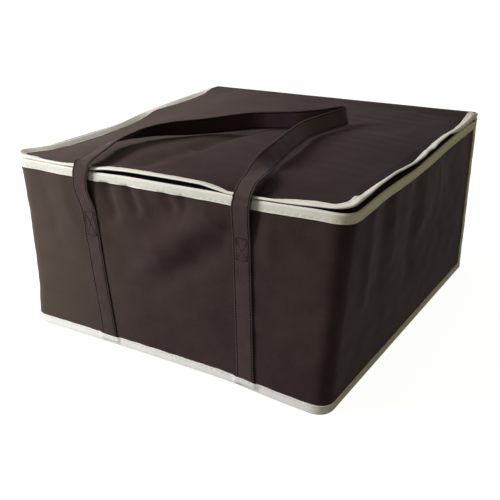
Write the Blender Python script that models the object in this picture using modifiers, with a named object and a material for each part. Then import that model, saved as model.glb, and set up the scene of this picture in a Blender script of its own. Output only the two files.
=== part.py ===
"""A square insulated carrying bag with a zipped lid.

Fabric walls, foam and foil lining are separate layers. Pale binding tape closes every cut edge.
The lid turns on the fabric fold along the top back edge, and the zip runs round its other three sides.
Metres, +Z up, the floor at z = 0, the handle face towards -Y and the fold towards +Y.
"""

import math

import bmesh
import bpy
from mathutils import Vector

# Driving sizes of the bag
BODY_WIDTH = 0.480
BODY_DEPTH = 0.500
RIM_HEIGHT = 0.251
FRONT_CORNER_RADIUS = 0.028

# Layers of the laminate, and the clearance between neighbours
FABRIC = 0.0010
FOAM = 0.0030
LINER = 0.0006
BOARD = 0.0020
GAP = 0.0003

# Binding tape
TAPE = 0.0010
TAPE_REACH = 0.0120
LID_TAPE_REACH = 0.0103
LID_EDGE_HEIGHT = 0.0060

# Zip
ZIP_OPENING = 0.0055
ZIP_TAPE = 0.0008
ZIP_TAPE_REACH = 0.0117
ZIP_TAPE_SPREAD = 0.0016
COIL_DEPTH = 0.0020

# Seams and folds
SEAM_RISE = 0.0005
SEAM_SLOPE = 0.0030
FLOOR_SLOPE = 0.0030
EDGE_TAPER = 0.0062
LID_TAPER = 0.0047
LID_SETBACK = 0.0080
FOLD_RUN = 0.0050
LID_PUFF = 0.0018
FLOOR_LINER_RISE = 0.0145
CORNER_TAPE_ROUND = 0.0014
FOAM_RETURN = 0.0100
TAPE_SETBACK = 0.0020
FOLD_SHARES = (0.30, 0.72)

# Webbing of the handles
STRAP_WIDTH = 0.0250
STRAP = 0.0016
STRAP_STAND_OFF = 0.0060
STRAP_LIFT = 0.0005
STITCH_TOP = 0.2000
FRONT_FEET_X = (-0.0900, 0.1285)
FRONT_HEADS_X = (-0.1077, 0.1192)
BACK_LEG_X = 0.1120
BACK_HANDLE_RISE = 0.0005
HALF_TURN = 180

# Zip slider and its pull tab
SLIDER_LENGTH = 0.0120
SLIDER_PLATE = 0.0014
SLIDER_INNER_PLATE = 0.0012
SLIDER_HEIGHT = 0.0095
SLIDER_REST_SETBACK = 0.0210
SLIDER_POST = 0.0030
SLIDER_OVERRUN = 0.0005
BAIL_BAR_RADIUS = 0.0008
BAIL_REACH = 0.0022
BAIL_WALL = 0.0012
KNUCKLE_LENGTH = 0.0040
KNUCKLE_WALL = 0.0008
PULL_LENGTH = 0.0240
PULL_WIDTH = 0.0060
PULL_THICKNESS = 0.0012
PULL_HOLE_RADIUS = 0.0014
COIL_SECTION_SHARES = ((0.0, 0.3), (0.0, 0.7), (0.35, 1.0), (1.0, 1.0), (1.0, 0.0), (0.35, 0.0))

# How far the soft rim leans at the two right corners, towards +X and +Y
FRONT_RIGHT_LEAN = (0.0190, 0.0120)
BACK_RIGHT_LEAN = (0.0070, 0.0)
LEAN_POWER = 3

# Steps of the grids
SIDE_STEPS = 8
FRONT_STEPS = 10
CORNER_STEPS = 6
WALL_STEPS = 6
LEG_STEPS = 6
ROUTE_STEPS = 3
ROUND_STEPS = 20
TAPE_STEPS = 3

# Heights worked out from the layers
LID_UNDERSIDE = RIM_HEIGHT + ZIP_OPENING
LID_EDGE_TOP = LID_UNDERSIDE + LID_EDGE_HEIGHT
LID_LINER_TOP = LID_UNDERSIDE + TAPE + GAP + LINER
LID_SHELL_EDGE = LID_EDGE_TOP - TAPE - GAP
LID_TOP = LID_SHELL_EDGE + LID_PUFF
SHELL_TOP = RIM_HEIGHT - TAPE - GAP
SHELL_BOTTOM = TAPE + GAP
SEAM_TOP = TAPE_REACH + GAP + FABRIC
FOAM_TOP = RIM_HEIGHT - TAPE_REACH - EDGE_TAPER
FOAM_BOTTOM = SEAM_TOP + SEAM_RISE + GAP
BACK_FOAM_TOP = SHELL_TOP - TAPE

# Depths into the wall, measured from the outer face of the fabric
TAPE_OUT = -(GAP + TAPE)
FOAM_IN = FABRIC + GAP
LINER_IN = FOAM_IN + FOAM + GAP
EDGE_LINER_IN = FABRIC + GAP
INNER_TAPE_IN = EDGE_LINER_IN + LINER + GAP + TAPE
SEAM_TAPE_IN = FABRIC + GAP + FABRIC + GAP + TAPE
ZIP_TAPE_IN = INNER_TAPE_IN + GAP
COIL_IN = ZIP_TAPE_IN - GAP - COIL_DEPTH
FLOOR_IN = SEAM_TAPE_IN + GAP + FABRIC + SEAM_SLOPE
LID_FOAM_IN = LID_TAPE_REACH + LID_TAPER

# The zip: its middle height and the edges of its two halves
ZIP_MIDDLE = RIM_HEIGHT + ZIP_OPENING / 2
COIL_HALF_HEIGHT = (ZIP_OPENING - 3 * GAP) / 2
BODY_TAPE_TOP = ZIP_MIDDLE - ZIP_TAPE_SPREAD / 2
LID_TAPE_BOTTOM = ZIP_MIDDLE + ZIP_TAPE_SPREAD / 2
ZIP_END_Y = BODY_DEPTH / 2 - TAPE_REACH - 2 * GAP
SLIDER_Y = BODY_DEPTH / 2 - SLIDER_REST_SETBACK
COIL_LEFT_END_Y = SLIDER_Y + SLIDER_LENGTH / 2 - SLIDER_POST - 3 * GAP

# The route of the front handle from its left leg to its right leg. Each row has the share of the width,
# of the depth and of the stand-off, the share of the lid's height, the lift in half widths, and the turn
# of the webbing in degrees: 0 lays its width along X, and 90 stands it on edge.
FRONT_ROUTE_SHARES = (
    (-0.235, -0.500, 0.78, 0.852, 0.00, 0),
    (-0.232, -0.500, 1.08, 0.928, 0.00, 0),
    (-0.227, -0.500, 0.80, 0.978, 0.00, 2),
    (-0.224, -0.500, 0.55, 1.003, 0.00, 4),
    (-0.222, -0.490, 0.00, 1.000, 0.32, 6),
    (-0.223, -0.447, 0.00, 1.000, 0.65, 12),
    (-0.226, -0.408, 0.00, 1.000, 0.88, 21),
    (-0.227, -0.376, 0.00, 1.000, 0.97, 31),
    (-0.223, -0.340, 0.00, 1.000, 1.00, 44),
    (-0.213, -0.300, 0.00, 1.000, 1.00, 57),
    (-0.198, -0.261, 0.00, 1.000, 1.02, 68),
    (-0.176, -0.217, 0.00, 1.000, 1.02, 77),
    (-0.135, -0.165, 0.00, 1.000, 1.02, 84),
    (-0.086, -0.105, 0.00, 1.000, 1.02, 88),
    (-0.036, -0.045, 0.00, 1.000, 1.00, 90),
    (0.005, -0.002, 0.00, 1.000, 1.00, 90),
    (0.057, 0.032, 0.00, 1.000, 1.00, 90),
    (0.114, 0.071, 0.00, 1.000, 1.08, 90),
    (0.151, 0.119, 0.00, 1.000, 1.17, 90),
    (0.170, 0.157, 0.00, 1.000, 1.20, 90),
    (0.179, 0.178, 0.00, 1.000, 1.19, 90),
    (0.188, 0.185, 0.00, 1.000, 1.17, 90),
    (0.196, 0.179, 0.00, 1.000, 1.14, 90),
    (0.197, 0.165, 0.00, 1.000, 1.10, 90),
    (0.191, 0.137, 0.00, 1.000, 1.05, 90),
    (0.180, 0.097, 0.00, 1.000, 1.02, 90),
    (0.169, 0.036, 0.00, 1.000, 1.00, 90),
    (0.165, -0.034, 0.00, 1.000, 1.00, 90),
    (0.176, -0.115, 0.00, 1.000, 1.00, 92),
    (0.193, -0.196, 0.00, 1.000, 1.00, 95),
    (0.213, -0.277, 0.00, 1.000, 1.00, 100),
    (0.229, -0.353, 0.00, 1.000, 0.97, 110),
    (0.242, -0.422, 0.00, 1.000, 0.84, 128),
    (0.250, -0.477, 0.00, 1.000, 0.58, 158),
    (0.253, -0.500, 0.55, 1.008, 0.00, 168),
    (0.253, -0.500, 0.90, 0.974, 0.00, 173),
    (0.250, -0.500, 1.10, 0.905, 0.00, 180),
)

# The back handle hangs down: the share of the width, the share of the stitched height, and the distance
# from the wall in stand-offs, for its right half from the stitching to the middle of the floor run.
BACK_ROUTE_SHARES = (
    (0.2345, 0.96, 0.25),
    (0.243, 0.90, 0.45),
    (0.268, 0.80, 0.75),
    (0.312, 0.66, 1.20),
    (0.362, 0.46, 1.70),
    (0.412, 0.27, 2.10),
    (0.441, 0.16, 2.25),
    (0.447, 0.11, 2.30),
    (0.437, 0.08, 2.30),
    (0.405, 0.069, 2.30),
    (0.330, 0.068, 2.20),
    (0.180, 0.068, 2.00),
    (0.000, 0.068, 1.90),
)

# Finishes: colour, roughness and metallic
BROWN_CLOTH = ((0.055, 0.038, 0.036), 0.85, 0.0)
BROWN_WEBBING = ((0.060, 0.042, 0.040), 0.75, 0.0)
CREAM_TAPE = ((0.78, 0.77, 0.68), 0.80, 0.0)
SILVER_FOIL = ((0.72, 0.73, 0.74), 0.30, 0.9)
WHITE_FOAM = ((0.85, 0.85, 0.83), 0.90, 0.0)
GREY_BOARD = ((0.30, 0.29, 0.28), 0.70, 0.0)
BLACK_ZIP_TAPE = ((0.012, 0.010, 0.012), 0.80, 0.0)
BLACK_COIL = ((0.012, 0.010, 0.012), 0.50, 0.0)
BLACK_PAINT = ((0.020, 0.018, 0.018), 0.35, 0.6)

# Vertices closer than this are welded
WELD = GAP / 10

bag = bpy.data.collections.new("insulated_bag")
helpers = bpy.data.collections.new("helpers")


def clear_scene():
    for obj in list(bpy.data.objects):
        bpy.data.objects.remove(obj, do_unlink=True)
    for collection in (bag, helpers):
        bpy.context.scene.collection.children.link(collection)


def material(name, look):
    colour, roughness, metallic = look
    made = bpy.data.materials.new(f"{name} finish")
    made.use_nodes = True
    shader = made.node_tree.nodes["Principled BSDF"]
    shader.inputs["Base Color"].default_value = (*colour, 1.0)
    shader.inputs["Roughness"].default_value = roughness
    shader.inputs["Metallic"].default_value = metallic
    made.diffuse_color = (*colour, 1.0)
    return made


def lean(point):
    """The place of a point once the soft rim has leaned.

    Nothing moves at the floor or along the left side.
    """
    rise = max(point.z, 0.0) / RIM_HEIGHT
    across = min(max(point.x / BODY_WIDTH + 0.5, 0.0), 1.0) ** LEAN_POWER
    back = min(max(point.y / BODY_DEPTH + 0.5, 0.0), 1.0)
    shift_x = FRONT_RIGHT_LEAN[0] * (1 - back) + BACK_RIGHT_LEAN[0] * back
    shift_y = FRONT_RIGHT_LEAN[1] * (1 - back) + BACK_RIGHT_LEAN[1] * back
    return point + Vector((shift_x, shift_y, 0.0)) * rise * across


def add_object(name, bm, look, collection=None):
    mesh = bpy.data.meshes.new(name)
    bm.to_mesh(mesh)
    bm.free()
    obj = bpy.data.objects.new(name, mesh)
    (collection or bag).objects.link(obj)
    if look:
        mesh.materials.append(material(name, look))
    return obj


def set_origin(obj, place):
    """Moves the object's origin to a place, such as its joint's axis, and leaves its shape where it is."""
    for vertex in obj.data.vertices:
        vertex.co -= place
    obj.location = place


def thicken(obj, thickness, side):
    """Gives an open surface its thickness. side -1 is inwards, and 0 is half each way."""
    solid = obj.modifiers.new("thickness", "SOLIDIFY")
    solid.thickness = thickness
    solid.offset = side
    solid.use_even_offset = True
    solid.use_quality_normals = True


def run(start, end, steps, first=0):
    """Values from start to end, evenly spaced. first leaves out that many from the beginning."""
    return [start + (end - start) * step / steps for step in range(first, steps + 1)]


# A station is a place along the outline of the walls: centre x and y, direction x and y, and radius.
# The point at a depth into the wall is the centre plus the direction times (radius - depth).
def side_stations(side, y_from, y_to, steps=SIDE_STEPS):
    return [(side * BODY_WIDTH / 2, y, side, 0.0, 0.0) for y in run(y_from, y_to, steps)]


def corner_stations(side, towards_front):
    """The rounded front corner on one side, in walking order from the side to the front or back again."""
    centre_x = side * (BODY_WIDTH / 2 - FRONT_CORNER_RADIUS)
    centre_y = -BODY_DEPTH / 2 + FRONT_CORNER_RADIUS
    angles = run(0.0, math.pi / 2, CORNER_STEPS)
    if not towards_front:
        angles.reverse()
    return [(centre_x, centre_y, side * math.cos(a), -math.sin(a), FRONT_CORNER_RADIUS) for a in angles]


def front_stations():
    """The front wall with both of its corners, from the left side to the right side."""
    half = BODY_WIDTH / 2 - FRONT_CORNER_RADIUS
    middle = [(x, -BODY_DEPTH / 2, 0.0, -1.0, 0.0) for x in run(-half, half, FRONT_STEPS, 1)[:-1]]
    return corner_stations(-1, True) + middle + corner_stations(1, False)


def wrap_stations(left_end_y, right_end_y):
    """Round three sides: forwards along the left, across the front, and back along the right."""
    front_y = -BODY_DEPTH / 2 + FRONT_CORNER_RADIUS
    left = side_stations(-1, left_end_y, front_y)[:-1]
    right = side_stations(1, front_y, right_end_y)[1:]
    return left + front_stations() + right


def back_stations(back_y, steps=FRONT_STEPS):
    """The back side from the right corner to the left one. The corners are mitred."""
    corners = [(side * BODY_WIDTH / 2, back_y, side, 1.0, 0.0) for side in (1, -1)]
    middle = [(x, back_y, 0.0, 1.0, 0.0) for x in run(BODY_WIDTH / 2, -BODY_WIDTH / 2, steps, 1)[:-1]]
    return [corners[0]] + middle + [corners[1]]


def ring_stations(back_y):
    """Round all four sides."""
    return wrap_stations(back_y, back_y)[1:-1] + back_stations(back_y)


def back_wall_stations(half_width, steps=FRONT_STEPS):
    return [(x, BODY_DEPTH / 2, 0.0, 1.0, 0.0) for x in run(half_width, -half_width, steps)]


def point_at(station, depth, height):
    x, y, direction_x, direction_y, radius = station
    reach = radius - depth
    return Vector((x + direction_x * reach, y + direction_y * reach, height))


def grid(columns, rows, place, ring=False):
    """A mesh grid whose corner (column, row) lies at place(column, row).

    A ring's last column meets its first.
    """
    bm = bmesh.new()
    bmesh.ops.create_grid(bm, x_segments=columns, y_segments=rows, size=1.0)
    for vertex in bm.verts:
        column = round((vertex.co.x + 1) / 2 * columns)
        row = round((vertex.co.y + 1) / 2 * rows)
        vertex.co = place(column % columns if ring else column, row)
    if ring:
        bmesh.ops.remove_doubles(bm, verts=bm.verts, dist=WELD)
    return bm


def swept(stations, profile, ring=False):
    """A profile of (depth, height) points carried along the stations, leaning with the rim."""
    columns = len(stations) if ring else len(stations) - 1
    return grid(columns, len(profile) - 1, lambda i, j: lean(point_at(stations[i], *profile[j])), ring)


def swept_shell(name, stations, profile, thickness, look, side=-1, ring=False, fill_row=None):
    """A swept surface with a thickness. The profile is the outer face, read upwards on the outside.

    fill_row names the row of the profile that is closed with one flat face.
    """
    bm = swept(stations, profile, ring)
    if fill_row is not None:
        height = profile[fill_row][1]
        rim = [edge for edge in bm.edges if edge.is_boundary and abs(edge.verts[0].co.z - height) < WELD]
        bmesh.ops.holes_fill(bm, edges=rim, sides=0)
    obj = add_object(name, bm, look)
    thicken(obj, thickness, side)
    return obj


def levels(bottom, top, depth, steps=WALL_STEPS):
    return [(depth, height) for height in run(bottom, top, steps)]


def bar(name, stations, section, look):
    """A closed section of (depth, height) points carried along the stations, with closed ends."""
    columns = len(stations) - 1
    count = len(section)
    bm = grid(columns, count, lambda i, j: lean(point_at(stations[i], *section[j % count])))
    bmesh.ops.remove_doubles(bm, verts=bm.verts, dist=WELD)
    bmesh.ops.holes_fill(bm, edges=[edge for edge in bm.edges if edge.is_boundary], sides=0)
    bmesh.ops.recalc_face_normals(bm, faces=bm.faces)
    return add_object(name, bm, look)


def band(name, centres, widths, look):
    """Flat webbing through the centres, leaning with the rim. widths are unit vectors across it."""
    half = STRAP_WIDTH / 2

    def place(column, row):
        return lean(centres[column] + widths[column] * (half if row else -half))

    obj = add_object(name, grid(len(centres) - 1, 1, place), look)
    thicken(obj, STRAP, 0)
    return obj


def box(name, low, high, look=None, collection=None):
    bm = bmesh.new()
    bmesh.ops.create_cube(bm, size=1.0)
    size = Vector(high) - Vector(low)
    centre = (Vector(high) + Vector(low)) / 2
    for vertex in bm.verts:
        vertex.co = Vector([vertex.co[axis] * abs(size[axis]) for axis in range(3)]) + centre
    return add_object(name, bm, look, collection)


def add_rod(bm, radius, length):
    bmesh.ops.create_cone(
        bm,
        cap_ends=True,
        segments=ROUND_STEPS,
        radius1=radius,
        radius2=radius,
        depth=length,
    )


def upright_rod(name, centre, radius, length, look=None, collection=None):
    bm = bmesh.new()
    add_rod(bm, radius, length)
    bmesh.ops.translate(bm, verts=bm.verts, vec=centre)
    return add_object(name, bm, look, collection)


def combine(obj, other, operation):
    """Joins a helper to an object, or cuts it out."""
    other.hide_render = True
    other.display_type = "WIRE"
    step = obj.modifiers.new(f"{operation.lower()} {other.name}", "BOOLEAN")
    step.operation = operation
    step.object = other
    step.solver = "EXACT"


def make_walls():
    """The outer fabric: one strip round three sides, and the back wall."""
    end = BODY_DEPTH / 2 - FABRIC - GAP
    side_strip = wrap_stations(end, end)
    profile = levels(SHELL_BOTTOM, SHELL_TOP, 0.0)
    swept_shell("side_wall_shell", side_strip, profile, FABRIC, BROWN_CLOTH)
    back = back_wall_stations(BODY_WIDTH / 2)
    swept_shell("back_wall_shell", back, profile, FABRIC, BROWN_CLOTH)


def make_floor():
    """The bottom fabric rises to its seam at the edge. A board, a foam sheet and a foil tray lie on it."""
    ring = ring_stations(BODY_DEPTH / 2)
    seam_in = FABRIC + GAP + FABRIC / 2
    seam_top = SEAM_TOP - FABRIC / 2
    profile = [
        (FLOOR_IN - FABRIC / 2, FABRIC / 2),
        (SEAM_TAPE_IN + GAP + FABRIC / 2, seam_top),
        (seam_in, seam_top),
        (seam_in, SHELL_BOTTOM),
    ]
    swept_shell("bottom_shell", ring, profile, FABRIC, BROWN_CLOTH, 0, ring=True, fill_row=0)
    height = FABRIC + GAP
    inset = FLOOR_IN + FLOOR_SLOPE
    for name, thickness, look in (
        ("base_board", BOARD, GREY_BOARD),
        ("bottom_foam", FOAM, WHITE_FOAM),
    ):
        plate(name, BODY_DEPTH / 2, inset, height, height + thickness, look)
        height += thickness + GAP
    tray_in = LINER_IN + LINER + GAP
    tray = [(inset, height), (tray_in, FOAM_BOTTOM), (tray_in, height + FLOOR_LINER_RISE)]
    swept_shell("bottom_liner", ring, tray, LINER, SILVER_FOIL, ring=True, fill_row=0)


def plate(name, back_y, inset, bottom, top, look):
    """A flat sheet inside the outline, between two heights."""
    outline = [lean(point_at(station, inset, top)) for station in ring_stations(back_y)]
    bm = bmesh.new()
    bmesh.ops.create_circle(bm, cap_ends=True, segments=len(outline), radius=1.0)
    for vertex, place in zip(sorted(bm.verts, key=lambda v: math.atan2(v.co.y, v.co.x)), outline):
        vertex.co = place
    bm.normal_update()
    downward = [face for face in bm.faces if face.normal.z < 0]
    bmesh.ops.reverse_faces(bm, faces=downward)
    obj = add_object(name, bm, look)
    thicken(obj, top - bottom, -1)
    return obj


def make_wall_foam():
    profile = levels(FOAM_BOTTOM, FOAM_TOP, FOAM_IN)
    return_y = -BODY_DEPTH / 2 + FRONT_CORNER_RADIUS + FOAM_RETURN
    ends = [side_stations(side, return_y, return_y, 1)[:1] for side in (-1, 1)]
    swept_shell("front_wall_foam", ends[0] + front_stations() + ends[1], profile, FOAM, WHITE_FOAM)
    front_y = return_y + GAP
    back_y = BODY_DEPTH / 2 - FOAM_IN - FOAM - GAP
    swept_shell("left_wall_foam", side_stations(-1, back_y, front_y), profile, FOAM, WHITE_FOAM)
    swept_shell("right_wall_foam", side_stations(1, front_y, back_y), profile, FOAM, WHITE_FOAM)
    back = back_wall_stations(BODY_WIDTH / 2 - FOAM_IN)
    back_profile = levels(FOAM_BOTTOM, BACK_FOAM_TOP, FOAM_IN)
    swept_shell("back_wall_foam", back, back_profile, FOAM, WHITE_FOAM)


def make_liners():
    """The foil comes out to meet the fabric under the rim binding, above the top of the foam."""
    bend = RIM_HEIGHT - TAPE_REACH - GAP
    profile = levels(FOAM_BOTTOM, FOAM_TOP, LINER_IN) + [(EDGE_LINER_IN, bend), (EDGE_LINER_IN, SHELL_TOP)]
    end = BODY_DEPTH / 2 - LINER_IN - LINER - GAP
    swept_shell("side_wall_liner", wrap_stations(end, end), profile, LINER, SILVER_FOIL)
    back = back_wall_stations(BODY_WIDTH / 2 - LINER_IN)
    back_profile = levels(FOAM_BOTTOM, BACK_FOAM_TOP, LINER_IN)
    swept_shell("back_wall_liner", back, back_profile, LINER, SILVER_FOIL)


def make_bindings():
    ring = ring_stations(BODY_DEPTH / 2)
    bottom = [(SEAM_TAPE_IN, TAPE_REACH), (SEAM_TAPE_IN, 0.0), (TAPE_OUT, 0.0), (TAPE_OUT, TAPE_REACH)]
    swept_shell("bottom_binding", ring, bottom, TAPE, CREAM_TAPE, ring=True)
    low = RIM_HEIGHT - TAPE_REACH
    rim = [(TAPE_OUT, low), (TAPE_OUT, RIM_HEIGHT), (INNER_TAPE_IN, RIM_HEIGHT), (INNER_TAPE_IN, low)]
    wrap = wrap_stations(ZIP_END_Y, ZIP_END_Y)
    swept_shell("rim_binding", wrap, rim, TAPE, CREAM_TAPE)
    for name, side in (("back_left_binding", -1), ("back_right_binding", 1)):
        corner_binding(name, side)


def corner_binding(name, side):
    """An upright tape folded round a back corner."""
    out = -TAPE_OUT
    reach = TAPE_REACH - out
    arc_x = BODY_WIDTH / 2 + out - CORNER_TAPE_ROUND
    arc_y = BODY_DEPTH / 2 + out - CORNER_TAPE_ROUND
    plan = [(BODY_WIDTH / 2 + out, BODY_DEPTH / 2 - reach)]
    for angle in run(0.0, math.pi / 2, TAPE_STEPS):
        arc = Vector((math.cos(angle), math.sin(angle))) * CORNER_TAPE_ROUND
        plan.append((arc_x + arc.x, arc_y + arc.y))
    plan.append((BODY_WIDTH / 2 - reach, BODY_DEPTH / 2 + out))
    if side < 0:
        plan.reverse()
    heights = run(TAPE_REACH + GAP, LID_UNDERSIDE - 2 * GAP, WALL_STEPS)

    def place(column, row):
        x, y = plan[column]
        return lean(Vector((side * x, y, heights[row])))

    obj = add_object(name, grid(len(plan) - 1, WALL_STEPS, place), CREAM_TAPE)
    thicken(obj, TAPE, -1)


def make_lid():
    back_y = BODY_DEPTH / 2 - LID_SETBACK
    ring = ring_stations(back_y)
    taper_end = LID_TAPE_REACH + LID_TAPER
    top = [(0.0, LID_SHELL_EDGE), (LID_TAPE_REACH, LID_SHELL_EDGE), (taper_end, LID_TOP)]
    swept_shell("lid_shell", ring, top, FABRIC, BROWN_CLOTH, ring=True, fill_row=-1)
    foam_in = LID_FOAM_IN + FABRIC
    foam_top = LID_TOP - FABRIC - GAP
    plate("lid_foam", back_y, foam_in, foam_top - FOAM, foam_top, WHITE_FOAM)
    plate("lid_liner", back_y, GAP, LID_LINER_TOP - LINER, LID_LINER_TOP, SILVER_FOIL)
    reach = LID_TAPE_REACH - GAP - TAPE
    edge = [
        (reach, LID_UNDERSIDE),
        (TAPE_OUT, LID_UNDERSIDE),
        (TAPE_OUT, LID_EDGE_TOP),
        (reach, LID_EDGE_TOP),
    ]
    end = back_y - TAPE_SETBACK
    swept_shell("lid_binding", wrap_stations(end, end), edge, TAPE, CREAM_TAPE)
    make_fold()


def make_fold():
    """The fabric that runs on from the back wall over into the lid."""
    back_y = BODY_DEPTH / 2
    bend_rise = (LID_SHELL_EDGE - LID_UNDERSIDE) * FOLD_SHARES[1]
    profile = [
        (back_y, SHELL_TOP + GAP),
        (back_y, LID_UNDERSIDE),
        (back_y - FOLD_RUN * FOLD_SHARES[0], LID_UNDERSIDE + bend_rise),
        (back_y - FOLD_RUN, LID_SHELL_EDGE),
        (back_y - LID_SETBACK + GAP, LID_SHELL_EDGE),
    ]
    across = run(BODY_WIDTH / 2 - GAP, -BODY_WIDTH / 2 + GAP, FRONT_STEPS)

    def place(column, row):
        y, z = profile[row]
        return lean(Vector((across[column], y, z)))

    obj = add_object("hinge_fold", grid(FRONT_STEPS, len(profile) - 1, place), BROWN_CLOTH)
    thicken(obj, FABRIC, -1)


def make_zip():
    tape_bottom = RIM_HEIGHT - ZIP_TAPE_REACH
    wrap = wrap_stations(ZIP_END_Y, ZIP_END_Y)
    body_tape = levels(tape_bottom, BODY_TAPE_TOP, ZIP_TAPE_IN, 2)
    swept_shell("body_zip_tape", wrap, body_tape, ZIP_TAPE, BLACK_ZIP_TAPE)
    lid_end = BODY_DEPTH / 2 - LID_SETBACK - TAPE_SETBACK
    lid_wrap = wrap_stations(lid_end, lid_end)
    lid_tape = [
        (ZIP_TAPE_IN, LID_TAPE_BOTTOM),
        (ZIP_TAPE_IN, LID_UNDERSIDE - GAP),
        (ZIP_TAPE_IN + ZIP_TAPE_REACH, LID_UNDERSIDE - GAP),
    ]
    swept_shell("lid_zip_tape", lid_wrap, lid_tape, ZIP_TAPE, BLACK_ZIP_TAPE)
    coil_wrap = wrap_stations(COIL_LEFT_END_Y, ZIP_END_Y)
    for name, bottom in (
        ("body_zip_coil", RIM_HEIGHT + GAP),
        ("lid_zip_coil", ZIP_MIDDLE + GAP / 2),
    ):
        section = [
            (COIL_IN + COIL_DEPTH * depth_share, bottom + COIL_HALF_HEIGHT * height_share)
            for depth_share, height_share in COIL_SECTION_SHARES
        ]
        bar(name, coil_wrap, section, BLACK_COIL)


def make_slider():
    """The slider straddles the zip on the left side. Its post passes between the edges of the two tapes."""
    wall_x = -BODY_WIDTH / 2
    out_x = wall_x + TAPE_OUT - GAP
    face_x = out_x - SLIDER_PLATE
    front_y = SLIDER_Y - SLIDER_LENGTH / 2
    back_y = SLIDER_Y + SLIDER_LENGTH / 2
    half = SLIDER_HEIGHT / 2
    slider = box(
        "zip_slider",
        (face_x, front_y, ZIP_MIDDLE - half),
        (out_x, back_y, ZIP_MIDDLE + half),
        BLACK_PAINT,
    )
    neck = box(
        "slider neck",
        (out_x - SLIDER_OVERRUN, front_y, RIM_HEIGHT + GAP),
        (wall_x + COIL_IN - GAP, back_y, LID_UNDERSIDE - GAP),
        collection=helpers,
    )
    inner_x = wall_x + ZIP_TAPE_IN + ZIP_TAPE + GAP
    post = box(
        "slider post",
        (wall_x + COIL_IN - GAP - SLIDER_OVERRUN, back_y - SLIDER_POST, BODY_TAPE_TOP + GAP),
        (inner_x + SLIDER_OVERRUN, back_y, LID_TAPE_BOTTOM - GAP),
        collection=helpers,
    )
    inner_top = LID_UNDERSIDE - GAP - ZIP_TAPE - GAP
    inner = box(
        "slider inner plate",
        (inner_x, front_y, inner_top - SLIDER_HEIGHT + 2 * SLIDER_PLATE),
        (inner_x + SLIDER_INNER_PLATE, back_y, inner_top),
        collection=helpers,
    )
    bar_x = face_x - BAIL_REACH
    bail_half = KNUCKLE_LENGTH / 2 + GAP
    rod = upright_rod(
        "slider bail bar",
        (bar_x, SLIDER_Y, ZIP_MIDDLE),
        BAIL_BAR_RADIUS,
        2 * (bail_half + SLIDER_OVERRUN),
        collection=helpers,
    )
    ears = [
        box(
            f"slider bail ear {number}",
            (bar_x - BAIL_BAR_RADIUS, SLIDER_Y - BAIL_BAR_RADIUS, ZIP_MIDDLE + side * bail_half),
            (
                face_x + SLIDER_OVERRUN,
                SLIDER_Y + BAIL_BAR_RADIUS,
                ZIP_MIDDLE + side * (bail_half + BAIL_WALL),
            ),
            collection=helpers,
        )
        for number, side in enumerate((-1, 1))
    ]
    for piece in (neck, post, inner, rod, *ears):
        combine(slider, piece, "UNION")
    pivot = Vector((bar_x, SLIDER_Y, ZIP_MIDDLE))
    set_origin(slider, pivot)
    return pivot


def make_pull_tab(pivot):
    """A flat tab with a round end and a hole, hooked on the slider's bar by a knuckle."""
    bore = BAIL_BAR_RADIUS + GAP
    knuckle_radius = bore + KNUCKLE_WALL
    half = PULL_THICKNESS / 2
    plate_start = pivot.y - bore - GAP
    round_y = pivot.y - PULL_LENGTH + PULL_WIDTH / 2
    low_z = pivot.z - PULL_WIDTH / 2
    tab = box(
        "zip_pull_tab",
        (pivot.x - half, round_y, pivot.z - KNUCKLE_LENGTH / 2),
        (pivot.x + half, plate_start, pivot.z + KNUCKLE_LENGTH / 2),
        BLACK_PAINT,
    )
    wide = box(
        "pull wide part",
        (pivot.x - half, round_y, low_z),
        (pivot.x + half, pivot.y - PULL_LENGTH / 2, low_z + PULL_WIDTH),
        collection=helpers,
    )
    end = cross_rod("pull round end", Vector((pivot.x, round_y, pivot.z)), PULL_WIDTH / 2, PULL_THICKNESS)
    hole = cross_rod("pull hole", Vector((pivot.x, round_y, pivot.z)), PULL_HOLE_RADIUS, 2 * PULL_THICKNESS)
    knuckle = upright_rod("pull knuckle", pivot, knuckle_radius, KNUCKLE_LENGTH, collection=helpers)
    bore_rod = upright_rod("pull bore", pivot, bore, 2 * KNUCKLE_LENGTH, collection=helpers)
    for piece in (wide, end, knuckle):
        combine(tab, piece, "UNION")
    for piece in (hole, bore_rod):
        combine(tab, piece, "DIFFERENCE")
    set_origin(tab, pivot)


def cross_rod(name, centre, radius, length):
    """A short rod along X."""
    bm = bmesh.new()
    add_rod(bm, radius, length)
    for vertex in bm.verts:
        vertex.co = Vector((vertex.co.z, vertex.co.y, -vertex.co.x)) + centre
    return add_object(name, bm, None, helpers)


def leg_centres(foot_x, head_x, face):
    """The middle line of a stitched leg, from above the bottom binding to the top of its stitching."""
    y = face * (BODY_DEPTH / 2 + GAP + STRAP / 2)
    heights = run(TAPE_REACH + GAP, STITCH_TOP, LEG_STEPS)
    return [
        Vector((foot_x + (head_x - foot_x) * (z - heights[0]) / (STITCH_TOP - heights[0]), y, z))
        for z in heights
    ]


def make_legs():
    for name, foot_x, head_x, face in (
        ("front_left_strap", FRONT_FEET_X[0], FRONT_HEADS_X[0], -1),
        ("front_right_strap", FRONT_FEET_X[1], FRONT_HEADS_X[1], -1),
        ("back_left_strap", -BACK_LEG_X, -BACK_LEG_X, 1),
        ("back_right_strap", BACK_LEG_X, BACK_LEG_X, 1),
    ):
        centres = leg_centres(foot_x, head_x, face)
        widths = [Vector((1.0, 0.0, 0.0)) for _ in centres]
        band(name, centres, widths, BROWN_WEBBING)


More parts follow.
